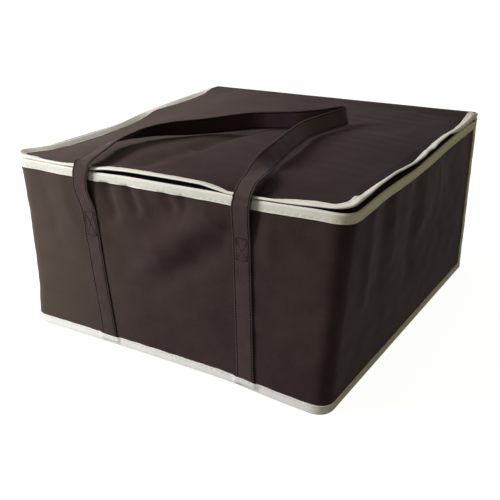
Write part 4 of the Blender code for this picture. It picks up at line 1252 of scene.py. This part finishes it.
def make_corner_tape(name, side, node):
    """An upright tape at a back corner. Its leg on the back wall ends lower, under the lid's turned tape."""
    rise, rows, lowered, top_fade = 0.0055, 150, 0.0019, 0.0100
    plan = corner_plan(side)
    heights = np.linspace(TAPE_REACH + GAP, RIM_HEIGHT + rise, rows)
    wave = uneven(name, heights, 0 * heights)
    along = np.gradient(plan, axis=0)
    along /= np.linalg.norm(along, axis=1, keepdims=True)
    near_top = smoothstep((heights - RIM_HEIGHT + top_fade) / (top_fade + rise))
    layers = []
    for depth in (0.0, TAPE):
        flat = plan - depth * np.stack([along[:, 1], -along[:, 0]], -1)
        behind = smoothstep((flat[:, 1] - HALF_DEPTH + TAPE) / (2 * TAPE))
        grid = np.empty((len(plan), len(heights), 3))
        grid[..., 0] = side * (flat[:, 0][:, None] + wave[None, :])
        grid[..., 1] = flat[:, 1][:, None]
        grid[..., 2] = heights[None, :] - lowered * behind[:, None] * near_top[None, :]
        layers.append(lean(grid))
    lengths = np.concatenate([[0.0], np.cumsum(np.linalg.norm(np.diff(plan, axis=0), axis=1))])
    tape = solid_sheet(name, *layers, marks_of(lengths, heights), CORNER_CREAM)
    finish_piece(tape, "bag_body", "binding", node)
    make_corner_stitches(name.replace("tape", "stitches"), side, heights[:-4])


def make_corner_stitches(name, side, heights):
    runs = []
    line = np.stack([0 * heights, 0 * heights, heights], -1)
    for x, y, direction in (
        (HALF_WIDTH - TAPE_OUT, HALF_DEPTH - CORNER_REACH + SEAM_LINE, (side, 0.0, 0.0)),
        (HALF_WIDTH - CORNER_REACH + SEAM_LINE, HALF_DEPTH - TAPE_OUT, (0.0, 1.0, 0.0)),
    ):
        places = lean(line + np.array((side * x, y, 0.0)))
        runs.append((places, np.broadcast_to(direction, places.shape)))
    stitches = stitch_runs(name, runs, SEAM_PITCH, SEAM_LENGTH, CREAM_THREAD)
    finish_piece(stitches, "bag_body", "binding")


def lid_edge(s):
    """The heights of the lid's lower side, upper side and tape's inner edge, and how far it has slipped."""
    return [read_rows(LID_EDGE, s, column) for column in (1, 2, 3, 4)]


def make_lid_tape():
    """The lid's binding: a lower leg, a round fold and an upper leg, turned round the back corners."""
    turned = np.array((-LID_TAPE_TURN, -0.8 * LID_TAPE_TURN))
    s = np.concatenate([turned, stations(0.0, WRAP_END + LID_TAPE_TURN, TAPE_STEP)])
    low, top, seam, slip = lid_edge(s)
    seam = seam + uneven("lid tape", s, 0 * s)
    half, middle = (top - low) / 2, (top + low) / 2
    leg = LID_SEAM_IN - LID_FOLD_IN
    columns = []
    for share in (1.0, 0.75, 0.5, 0.2):
        columns.append((LID_FOLD_IN + leg * share + 0 * s, low + (seam - top) * share))
    for angle in np.linspace(-math.pi / 2, math.pi / 2, 9):
        depth = LID_FOLD_IN - (LID_FOLD_IN - TAPE_OUT) * math.cos(angle)
        columns.append((depth, middle + half * math.sin(angle)))
    past_fold = len(columns)
    for share in (0.12, 0.3, 0.5, 0.62, 0.74, 0.86, 1.0):
        columns.append((LID_FOLD_IN + leg * share + 0 * s, top + (seam - top) * share))
    profile = stacked_rows(columns)
    profile[..., 0] += slip[:, None]
    top_leg = (np.arange(len(columns)) > past_fold)[None, :]
    seam_depth = LID_SEAM_IN - SEAM_LINE + slip
    profile[..., 1] -= seam_dip(s, profile[..., 0] - seam_depth[:, None]) * top_leg
    tape = swept("lid_tape", s, profile, TAPE, LID_CREAM, ring_place, free_edge=-1)
    finish_piece(tape, "lid", "binding", "lid_binding")
    share = (leg - SEAM_LINE) / leg
    run = seam_run(s, seam_depth, top + (seam - top) * share - THREAD_SUNK, ring_place, (0.0, 1.0))
    stitches = stitch_runs("lid_stitches", [run], SEAM_PITCH, SEAM_LENGTH, CREAM_THREAD)
    finish_piece(stitches, "lid", "binding")


def settle(heights, held, rounds=2500):
    """Evens a height field out between the points that are held."""
    level = heights.copy()
    for _ in range(rounds):
        padded = np.pad(level, 1, mode="edge")
        evened = (padded[:-2, 1:-1] + padded[2:, 1:-1] + padded[1:-1, :-2] + padded[1:-1, 2:]) / 4
        level = np.where(held, heights, evened)
    return level


def tape_share(depth):
    """How far across the lid tape's upper leg a depth lies."""
    return np.clip((depth - LID_FOLD_IN) / (LID_SEAM_IN - LID_FOLD_IN), 0, 1)


def under_lid_tape(x, y):
    """The height of the lid's cloth where its tape lies on it, and the depth past the tape's outer edge."""
    s, depth = nearest_wall(x, y)
    _, top, seam, slip = lid_edge(s)
    depth = depth - slip
    return top + (seam - top) * tape_share(depth) - TAPE - GAP, depth


class LidSurface:
    """The lid's upper face. It follows its tape at the edge, sags behind it, and bears the handle inside."""

    def __init__(self):
        self.x = np.arange(-HALF_WIDTH, HALF_WIDTH + PLAN_STEP / 2, PLAN_STEP)
        self.y = np.arange(-HALF_DEPTH, HALF_DEPTH - LID_SETBACK + PLAN_STEP / 2, PLAN_STEP)
        x, y = np.meshgrid(self.x, self.y, indexing="ij")
        edge, depth = under_lid_tape(x, y)
        held = depth < LID_SEAM_IN + GAP
        back = y > HALF_DEPTH - LID_SETBACK - PLAN_STEP
        heights = np.where(held & ~back, edge, LID_TOP + LID_BACK_RISE)
        self.level = settle(heights, held | back)

    def settled(self, x, y):
        """The evened-out height at plan points."""
        column = np.clip((x - self.x[0]) / PLAN_STEP, 0, len(self.x) - 1.001)
        row = np.clip((y - self.y[0]) / PLAN_STEP, 0, len(self.y) - 1.001)
        i, j = column.astype(int), row.astype(int)
        u, v = column - i, row - j
        near = self.level[i, j] * (1 - v) + self.level[i, j + 1] * v
        far = self.level[i + 1, j] * (1 - v) + self.level[i + 1, j + 1] * v
        return near * (1 - u) + far * u

    def heights(self, x, y):
        """The height with the flat middle and the folds."""
        left_band, right_band, front_band, back_band = 0.125, 0.080, 0.085, 0.050
        back_start, quiet_start, quiet_fade, tallest = 0.010, 0.012, 0.030, 0.0008
        edge, depth = under_lid_tape(x, y)
        leave = smoothstep((depth - LID_SEAM_IN) / PLAN_STEP)
        level = edge * (1 - leave) + self.settled(x, y) * leave
        inside = smoothstep((x + HALF_WIDTH) / left_band) * smoothstep((HALF_WIDTH - x) / right_band)
        inside = inside * smoothstep((y + HALF_DEPTH) / front_band)
        inside = inside * smoothstep((HALF_DEPTH - y - back_start) / back_band)
        level = level * (1 - inside) + (LID_TOP - GAP) * inside
        quiet = smoothstep((depth - quiet_start) / quiet_fade)
        quiet = quiet * smoothstep((HALF_DEPTH - LID_SETBACK - y) / quiet_fade)
        folds = fold_field(x, y, LID_FOLDS) + uneven("lid", x, y)
        return level + np.minimum(folds - tallest, tallest) * quiet


def slipped(x, y):
    """Plan points of the lid moved inwards where its edge has slipped."""
    s, depth = nearest_wall(x, y)
    slip = lid_edge(s)[3] * (1 - smoothstep((depth - LID_SEAM_IN) / SLIP_FADE))
    return x + slip * (x < 0), y


def make_lid_cloth(surface):
    """The lid's cloth, which is thinner where its tape holds it."""
    held_share, thickening = 0.4, 0.003
    x, y = slipped(*plan_points(LID_CLOTH_IN, HALF_DEPTH - LID_SETBACK, LID_STEP))
    s, depth = nearest_wall(x, y)
    free = smoothstep((depth - lid_edge(s)[3] - LID_SEAM_IN) / thickening)
    thick = FABRIC * (held_share + (1 - held_share) * free)
    cloth = plan_sheet("lid_cloth", x, y, surface.heights(x, y), thick, LID_CLOTH)
    finish_piece(cloth, "lid", "cloth", "lid_shell")


def make_lid_foam(surface):
    x, y = plan_points(LID_PAD_IN, HALF_DEPTH - LID_PAD_IN)
    pad = plan_sheet("lid_foam_pad", x, y, surface.heights(x, y) - FABRIC - GAP, LID_PAD, FOAM_LOOK)
    finish_piece(pad, "lid", "foam", "lid_foam")


def make_lid_foil(surface):
    crinkle_height = 0.0007
    x, y = slipped(*plan_points(LID_SEAM_IN + GAP, HALF_DEPTH - LID_SETBACK, LID_STEP))
    s, depth = nearest_wall(x, y)
    under_pad = smoothstep((depth - lid_edge(s)[3] - LID_SEAM_IN) / (LID_PAD_IN - LID_SEAM_IN))
    crinkle = np.clip(uneven("lid foil", x, y) + CRINKLE_LEVEL, 0, None)
    level = surface.heights(x, y) - FABRIC - GAP - (LID_PAD + GAP + crinkle_height * crinkle) * under_pad
    foil = plan_sheet("lid_foil", x, y, level, LINER, FOIL)
    finish_piece(foil, "lid", "foil", "lid_liner")


def make_fold():
    """The cloth that runs on from the back wall up and over into the lid."""
    x = np.linspace(HALF_WIDTH - 2 * TAPE, -HALF_WIDTH + 2 * TAPE, 121)
    profile = np.array([(HALF_DEPTH - forwards, height) for forwards, height in HINGE_SECTION])
    grain = uneven("hinge", x, 0 * x)
    along = np.gradient(profile, axis=0)
    along /= np.linalg.norm(along, axis=1, keepdims=True)
    layers = []
    for depth in (0.0, FABRIC):
        flat = profile - depth * np.stack([along[:, 1], -along[:, 0]], -1)
        grid = np.empty((len(x), len(profile), 3))
        grid[..., 0] = x[:, None]
        grid[..., 1] = flat[:, 0][None, :]
        grid[..., 2] = flat[:, 1][None, :] + grain[:, None] * np.linspace(0, 1, len(profile))[None, :]
        layers.append(lean(grid))
    lengths = np.concatenate([[0.0], np.cumsum(np.linalg.norm(np.diff(profile, axis=0), axis=1))])
    fold = solid_sheet("hinge_cloth", *layers, marks_of(x, lengths), CLOTH)
    finish_piece(fold, None, "cloth", "hinge_fold")
    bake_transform(fold)


def zip_line(s):
    """The middle height of the zip, and how far it folds inwards where the lid sits close on the rim."""
    open_gap, plain_in, sink_run, under_leg = 0.0054, 0.0022, 0.0500, 0.0030
    rim = RIM_HEIGHT + read_rows(RIM_RISE, s)
    low, top, seam, slip = lid_edge(s)
    shut = np.clip(open_gap - (low - rim), 0, None)
    deep = np.clip(shut - open_gap, 0, None)
    inside = plain_in + 1.1 * shut - 1.4 * deep
    inside = np.maximum(inside, ZIP_SUNK * smoothstep((s - LEFT_END) / sink_run))
    leg = low - (top - seam) * tape_share(inside - slip)
    middle = np.minimum((rim + low) / 2 - 0.75 * shut - deep, leg - under_leg)
    return middle, inside, rim, low


def body_zip_rows(middle, behind, rim):
    """The body half of the zip tape, from under the rim tape up to the coil: (depth, height)."""
    return [
        (ZIP_TAPE_IN + 0 * rim, rim - 0.0115),
        (ZIP_TAPE_IN + 0 * rim, np.minimum(rim - 0.0060, middle - 0.0030)),
        (np.maximum(ZIP_TAPE_IN, behind - 0.0020), np.minimum(rim - 0.0005, middle - 0.0016)),
        (behind, middle - ZIP_TAPE_PART),
    ]


def lid_zip_rows(s, middle, behind):
    """The lid half of the zip tape, from the coil inwards under the lid tape: (depth, height)."""
    low, top, seam, slip = lid_edge(s)
    rows = [(behind, middle + ZIP_TAPE_PART)]
    for depth in (behind, behind + 0.0020, np.maximum(behind + 0.0040, LID_SEAM_IN + slip + 0.0045)):
        rows.append((depth, low - (top - seam) * tape_share(depth - slip) - 0.0010))
    return rows


def make_zip_cloth():
    s = stations(SIDE_TAPE_END, WRAP_END - SIDE_TAPE_END, ZIP_STEP)
    middle, coil_in, rim, _ = zip_line(s)
    behind = coil_in + ZIP_BEHIND
    for name, rows, width, body, node in (
        ("body_zip_cloth", body_zip_rows(middle, behind, rim), BODY_ZIP_FLAT, "bag_body", "body_zip_tape"),
        ("lid_zip_cloth", lid_zip_rows(s, middle, behind), LID_ZIP_FLAT, "lid", "lid_zip_tape"),
    ):
        tape = swept(name, s, stacked_rows(rows), ZIP_TAPE, ZIP_CLOTH, edge_place)
        finish_piece(tape, body, "zip_tape", node)


def make_zip_teeth():
    """The two rows of the coil, which begin in front of the slider."""
    root, tip, radius = 0.0001, 0.0023, 0.00055
    teeth = np.arange(HALF_DEPTH - FIRST_TOOTH_Y, WRAP_END - SIDE_TAPE_END, TOOTH_PITCH)
    for name, side, shift, body, node in (
        ("body_zip_teeth", -1, 0.0, "bag_body", "body_zip_coil"),
        ("lid_zip_teeth", 1, TOOTH_PITCH / 2, "lid", "lid_zip_coil"),
    ):
        at = teeth + shift
        middle, coil_in, _, _ = zip_line(at)
        near = edge_place(at, coil_in, middle + side * root)
        far = edge_place(at, coil_in, middle + side * tip)
        outs = edge_place(at, coil_in - GAP, middle) - edge_place(at, coil_in, middle)
        coil = capsules(name, near, far, outs, radius, COIL_LOOK)
        finish_piece(coil, body, "zip_coil", node)


def smooth_rows(rows, steps):
    """Points read from the smooth curve through rows of numbers."""
    rows = np.array(rows, float)
    padded = np.vstack([rows[:1], rows, rows[-1:]])
    before, start, end, after = padded[:-3], padded[1:-2], padded[2:-1], padded[3:]
    leave, arrive = (end - before) / 2, (after - start) / 2
    bend = 3 * (end - start) - 2 * leave - arrive
    twist = 2 * (start - end) + leave + arrive
    t = (np.arange(steps) / steps)[None, :, None]
    found = start[:, None] + leave[:, None] * t + bend[:, None] * t**2 + twist[:, None] * t**3
    return np.vstack([found.reshape(-1, rows.shape[1]), rows[-1:]])


class Track:
    """Webbing laid along a route: its middle line, and the directions across it and out of its outer face."""

    def __init__(self, centres, hints):
        self.centres = centres
        self.along = np.gradient(centres, axis=0)
        self.along /= np.linalg.norm(self.along, axis=1, keepdims=True)
        self.across = hints - self.along * np.sum(hints * self.along, axis=1, keepdims=True)
        self.across /= np.linalg.norm(self.across, axis=1, keepdims=True)
        self.out = np.cross(self.across, self.along)
        steps = np.linalg.norm(np.diff(centres, axis=0), axis=1)
        self.travel = np.concatenate([[0.0], np.cumsum(steps)])

    def place(self, share, lift):
        """Points at a share of the half width and a lift off the middle surface."""
        return self.centres + self.across * (share * STRAP_WIDTH / 2) + self.out * lift

    def part(self, first, last):
        """The track between two of its points."""
        piece = copy.copy(self)
        for name in ("centres", "along", "across", "out", "travel"):
            setattr(piece, name, getattr(self, name)[first:last])
        return piece


def webbing(name, track, look):
    """A folded strap: rounded edges, and a groove along each seam where the thread pulls it in."""
    round_from, thinnest = 0.93, 0.10
    shares = np.array([1.0, 0.985, 0.95, 0.90, 0.865, 0.83, 0.795, 0.76, 0.70, 0.45, 0.15])
    shares = np.concatenate([shares, -shares[::-1]])
    past = np.clip(np.abs(shares) - round_from, 0, None) / (1 - round_from)
    rounding = np.sqrt(np.clip(1 - past**2, 0, 1))
    groove = 0.55 * np.exp(-(((np.abs(shares) - STRAP_SEAM) / 0.030) ** 2))
    bead = 0.18 * np.exp(-(((np.abs(shares) - round_from) / 0.035) ** 2))
    half = STRAP / 2 * np.clip(rounding * (1 + bead) - groove, thinnest, None)
    wave = uneven("webbing", track.travel[:, None], shares[None, :] * 0.02)
    offsets = shares * STRAP_WIDTH / 2
    grids = []
    for side in (1, -1):
        lifts = side * half[None, :] + wave
        grid = track.centres[:, None] + track.across[:, None] * offsets[None, :, None]
        grids.append(grid + track.out[:, None] * lifts[..., None])
    return solid_sheet(name, *grids, marks_of(track.travel, offsets), look)


def strap_stitches(name, track, boxes):
    """The two long seams on both faces, and a crossed box at the head of each leg.

    boxes are (lowest, highest, first, last): a span of heights, and a span along the strap.
    """
    runs = []
    in_groove = STRAP / 2 * 0.45
    for share in (STRAP_SEAM, -STRAP_SEAM):
        runs.append((track.place(share, in_groove), track.out))
        runs.append((track.place(share, -in_groove), -track.out))
    for lowest, highest, first, last in boxes:
        heights = track.centres[:, 2]
        here = (track.travel >= first) & (track.travel <= last)
        columns = np.flatnonzero((heights > lowest) & (heights < highest) & here)
        runs += box_runs(track, columns)
    return stitch_runs(name, runs, STRAP_PITCH, STRAP_STITCH, DARK_THREAD, STRAP_THREAD)


def leg_rows(foot_x, head_x, turn):
    """A front leg from under the bottom tape to its head, on the face of the wall."""
    rows = []
    for height in np.linspace(LEG_FOOT, STITCH_TOP - LEG_FOOT, 14):
        x = leg_x(foot_x, head_x, height)
        place = wall_place(front_s(x), -(GAP + STRAP / 2), height)
        rows.append((*place, turn))
    return rows


def box_runs(track, columns):
    """The sides, the two diagonals and the two ends of a crossed box, as runs for stitch_runs."""
    face = STRAP / 2 + 0.0001
    part = slice(columns[0], columns[-1] + 1)
    spread = np.linspace(-BOX_SHARE, BOX_SHARE, len(columns))[:, None]
    runs = []
    for share in (BOX_SHARE, -BOX_SHARE, spread, -spread):
        places = track.centres[part] + track.across[part] * (share * STRAP_WIDTH / 2) + track.out[part] * face
        runs.append((places, track.out[part]))
    shares = np.linspace(-BOX_SHARE, BOX_SHARE, 8)[:, None]
    for end in (columns[0], columns[-1]):
        places = track.centres[end] + track.across[end] * shares * STRAP_WIDTH / 2 + track.out[end] * face
        runs.append((places, np.broadcast_to(track.out[end], places.shape)))
    return runs


def make_front_handle():
    lift = STRAP_WIDTH / 2 + STRAP_LIFT
    loop = []
    for x_share, y_share, off_share, level_share, lift_share, turn in FRONT_ROUTE_SHARES:
        x = x_share * BODY_WIDTH
        y = y_share * BODY_DEPTH - off_share * STRAP_STAND_OFF
        z = level_share * LID_TOP + lift_share * lift
        loop.append((*lean(np.array((x, y, z))), turn))
    left = leg_rows(FRONT_FEET_X[0], FRONT_HEADS_X[0], 0)
    right = leg_rows(FRONT_FEET_X[1], FRONT_HEADS_X[1], 180)
    rows = smooth_rows(left + loop + right[::-1], ROUTE_STEPS)
    turns = np.radians(rows[:, 3])
    track = Track(rows[:, :3], np.stack([np.cos(turns), 0 * turns, np.sin(turns)], -1))
    length = float(track.travel[-1])
    boxes = ((*LEFT_BOX, 0.0, length / 2), (*RIGHT_BOX, length / 2, length))
    handle = webbing("front_handle", track, WEBBING)
    stitches = strap_stitches("front_handle_stitches", track, boxes)
    finish_piece(handle, None, "webbing", "front_left_strap", "front_right_strap", "front_handle_loop")
    finish_piece(stitches, None, "webbing")
    for piece in (handle, stitches):
        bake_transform(piece)


def back_route():
    """The back handle's route from one floor end to the other, and how many of its rows each leg has."""
    fold_drop = 0.0012
    leg_y = HALF_DEPTH + GAP + STRAP / 2
    hang_y = leg_y + GAP + STRAP
    leg = [(BACK_LEG_X, leg_y, height) for height in np.linspace(LEG_FOOT, STITCH_TOP - 0.004, 12)]
    folds = [
        (BACK_LEG_X, leg_y, STITCH_TOP - fold_drop),
        (BACK_LEG_X, (leg_y + hang_y) / 2, STITCH_TOP),
        (BACK_LEG_X, hang_y, STITCH_TOP - fold_drop),
    ]
    hang = []
    for x_share, height_share, off_share in BACK_ROUTE_SHARES:
        y = hang_y - STRAP / 2 + off_share * STRAP_STAND_OFF
        hang.append((x_share * BODY_WIDTH, y, height_share * STITCH_TOP))
    half = leg + folds + hang
    whole = half + [(-x, y, z) for x, y, z in reversed(half[:-1])]
    return smooth_rows(whole, ROUTE_STEPS), len(leg), len(folds)


def make_back_handle():
    """The back handle folds over the heads of its legs, hangs down and rests on the floor on one edge."""
    rows, leg_count, fold_count = back_route()
    hints = np.cross(np.gradient(rows, axis=0), (0.0, -1.0, 0.0))
    sewn = (leg_count + fold_count) * ROUTE_STEPS
    hints[:sewn] = (-1.0, 0.0, 0.0)
    hints[-sewn:] = (1.0, 0.0, 0.0)
    track = Track(rows, hints)
    cut = (leg_count + 1) * ROUTE_STEPS
    box = ((*BACK_BOX, 0.0, track.travel[-1]),)
    for name, first, last, body, boxes, node in (
        ("back_right_leg", 0, cut + 1, "bag_body", box, "back_right_strap"),
        ("back_handle", cut, -cut, "back_handle", (), "back_handle_loop"),
        ("back_left_leg", -cut - 1, None, "bag_body", box, "back_left_strap"),
    ):
        part = track.part(first, last)
        strap = webbing(name, part, WEBBING)
        stitches = strap_stitches(f"{name}_stitches", part, boxes)
        finish_piece(strap, body, "webbing", node)
        finish_piece(stitches, body, "webbing")


def make_camera():
    """A camera at the photograph's angle."""
    back = Vector((0.49157, -0.78130, 0.38462)).normalized()
    target = Vector((0.0530774, -0.1153068, 0.1254607))
    distance, roll = 1.02636, math.radians(-0.9786)
    focal_pixels, picture_pixels, sensor = 752.43, 500, 36.0
    right = (-back).cross(Vector((0.0, 0.0, 1.0))).normalized()
    up = right.cross(-back)
    rolled_right = right * math.cos(roll) + up * math.sin(roll)
    rolled_up = up * math.cos(roll) - right * math.sin(roll)
    data = bpy.data.cameras.new("camera")
    data.sensor_width = sensor
    data.lens = focal_pixels / picture_pixels * sensor
    data.clip_start, data.clip_end = 0.05, 60.0
    camera = bpy.data.objects.new("camera", data)
    turn = Matrix((rolled_right, rolled_up, back)).transposed().to_4x4()
    camera.matrix_world = Matrix.Translation(target + back * distance) @ turn
    bpy.context.scene.collection.objects.link(camera)
    bpy.context.scene.camera = camera


def white_for_camera(tree, lit, white):
    """Shows one shader to the camera and to mirror rays, and another to the light that falls on the bag."""
    path = add_node(tree, "ShaderNodeLightPath")
    seen = maths(tree, "MAXIMUM", path.outputs["Is Camera Ray"], path.outputs["Is Glossy Ray"])
    seen = maths(tree, "MAXIMUM", seen, path.outputs["Is Transmission Ray"])
    mix = tree.nodes.new("ShaderNodeMixShader")
    tree.links.new(seen, mix.inputs[0])
    tree.links.new(lit, mix.inputs[1])
    tree.links.new(white, mix.inputs[2])
    return mix.outputs[0]


def floor_look():
    """A floor that the camera sees white further out, with the bag's soft shadow close to it."""
    near, far, near_white = 0.36, 0.70, 0.95
    look = bpy.data.materials.new("pale floor")
    look.use_nodes = True
    tree = look.node_tree
    tree.nodes.clear()
    spot = add_node(tree, "ShaderNodeTexCoord").outputs["Object"]
    distance = add_node(tree, "ShaderNodeVectorMath", {0: spot}, operation="LENGTH").outputs["Value"]
    strength = ranged(tree, distance, near, far, near_white, 1.0)
    glow = add_node(tree, "ShaderNodeEmission", {"Color": (1, 1, 1, 1), "Strength": strength}).outputs[0]
    catch = add_node(tree, "ShaderNodeBsdfDiffuse", {"Color": (0.24, 0.24, 0.24, 1)}).outputs[0]
    both = add_node(tree, "ShaderNodeAddShader", {0: glow, 1: catch}).outputs[0]
    plain = add_node(tree, "ShaderNodeBsdfDiffuse", {"Color": (0.34, 0.34, 0.36, 1)}).outputs[0]
    surface = white_for_camera(tree, plain, both)
    out = add_node(tree, "ShaderNodeOutputMaterial")
    tree.links.new(surface, out.inputs["Surface"])
    return look


def make_stage():
    size, level = 8.0, -0.0002
    mesh = bpy.data.meshes.new("floor")
    corners = [(x * size, y * size, level) for x, y in ((-1, -1), (1, -1), (1, 1), (-1, 1))]
    mesh.from_pydata(corners, [], [(0, 1, 2, 3)])
    mesh.materials.append(floor_look())
    floor = bpy.data.objects.new("floor", mesh)
    bpy.context.scene.collection.objects.link(floor)


def make_world():
    """White for the camera, and a dim warm light for the bag."""
    world = bpy.data.worlds.new("studio")
    world.use_nodes = True
    bpy.context.scene.world = world
    tree = world.node_tree
    tree.nodes.clear()
    dim = {"Color": (1.0, 0.92, 0.62, 1), "Strength": 0.20}
    ambient = add_node(tree, "ShaderNodeBackground", dim).outputs[0]
    white = add_node(tree, "ShaderNodeBackground", {"Color": (1, 1, 1, 1), "Strength": 1.0}).outputs[0]
    out = add_node(tree, "ShaderNodeOutputWorld")
    tree.links.new(white_for_camera(tree, ambient, white), out.inputs["Surface"])


def add_lamp(name, place, target, size, power, colour):
    data = bpy.data.lights.new(name, "AREA")
    data.shape = "DISK"
    data.size = size
    data.energy = power
    data.color = colour
    lamp = bpy.data.objects.new(name, data)
    lamp.location = place
    lamp.rotation_mode = "QUATERNION"
    lamp.rotation_quaternion = (Vector(target) - Vector(place)).to_track_quat("-Z", "Y")
    bpy.context.scene.collection.objects.link(lamp)


def main():
    make_camera()
    make_walls()
    make_foam()
    make_side_foil()
    make_back_foil()
    make_floor()
    make_rim_tape()
    make_bottom_tape()
    make_corner_tape("back_left_tape", -1, "back_left_binding")
    make_corner_tape("back_right_tape", 1, "back_right_binding")
    surface = LidSurface()
    make_lid_cloth(surface)
    make_lid_foam(surface)
    make_lid_foil(surface)
    make_lid_tape()
    make_fold()
    make_zip_cloth()
    make_zip_teeth()
    make_front_handle()
    make_back_handle()
    for node, look in (("base_board", BOARD_LOOK), ("zip_slider", METAL), ("zip_pull_tab", METAL)):
        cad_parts[node].data.materials.clear()
        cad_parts[node].data.materials.append(look)
    make_stage()
    make_world()
    for name, place, target, size, power, colour in LAMPS:
        add_lamp(name, place, target, size, power, colour)
    bpy.context.scene.view_settings.view_transform = "Standard"


main()
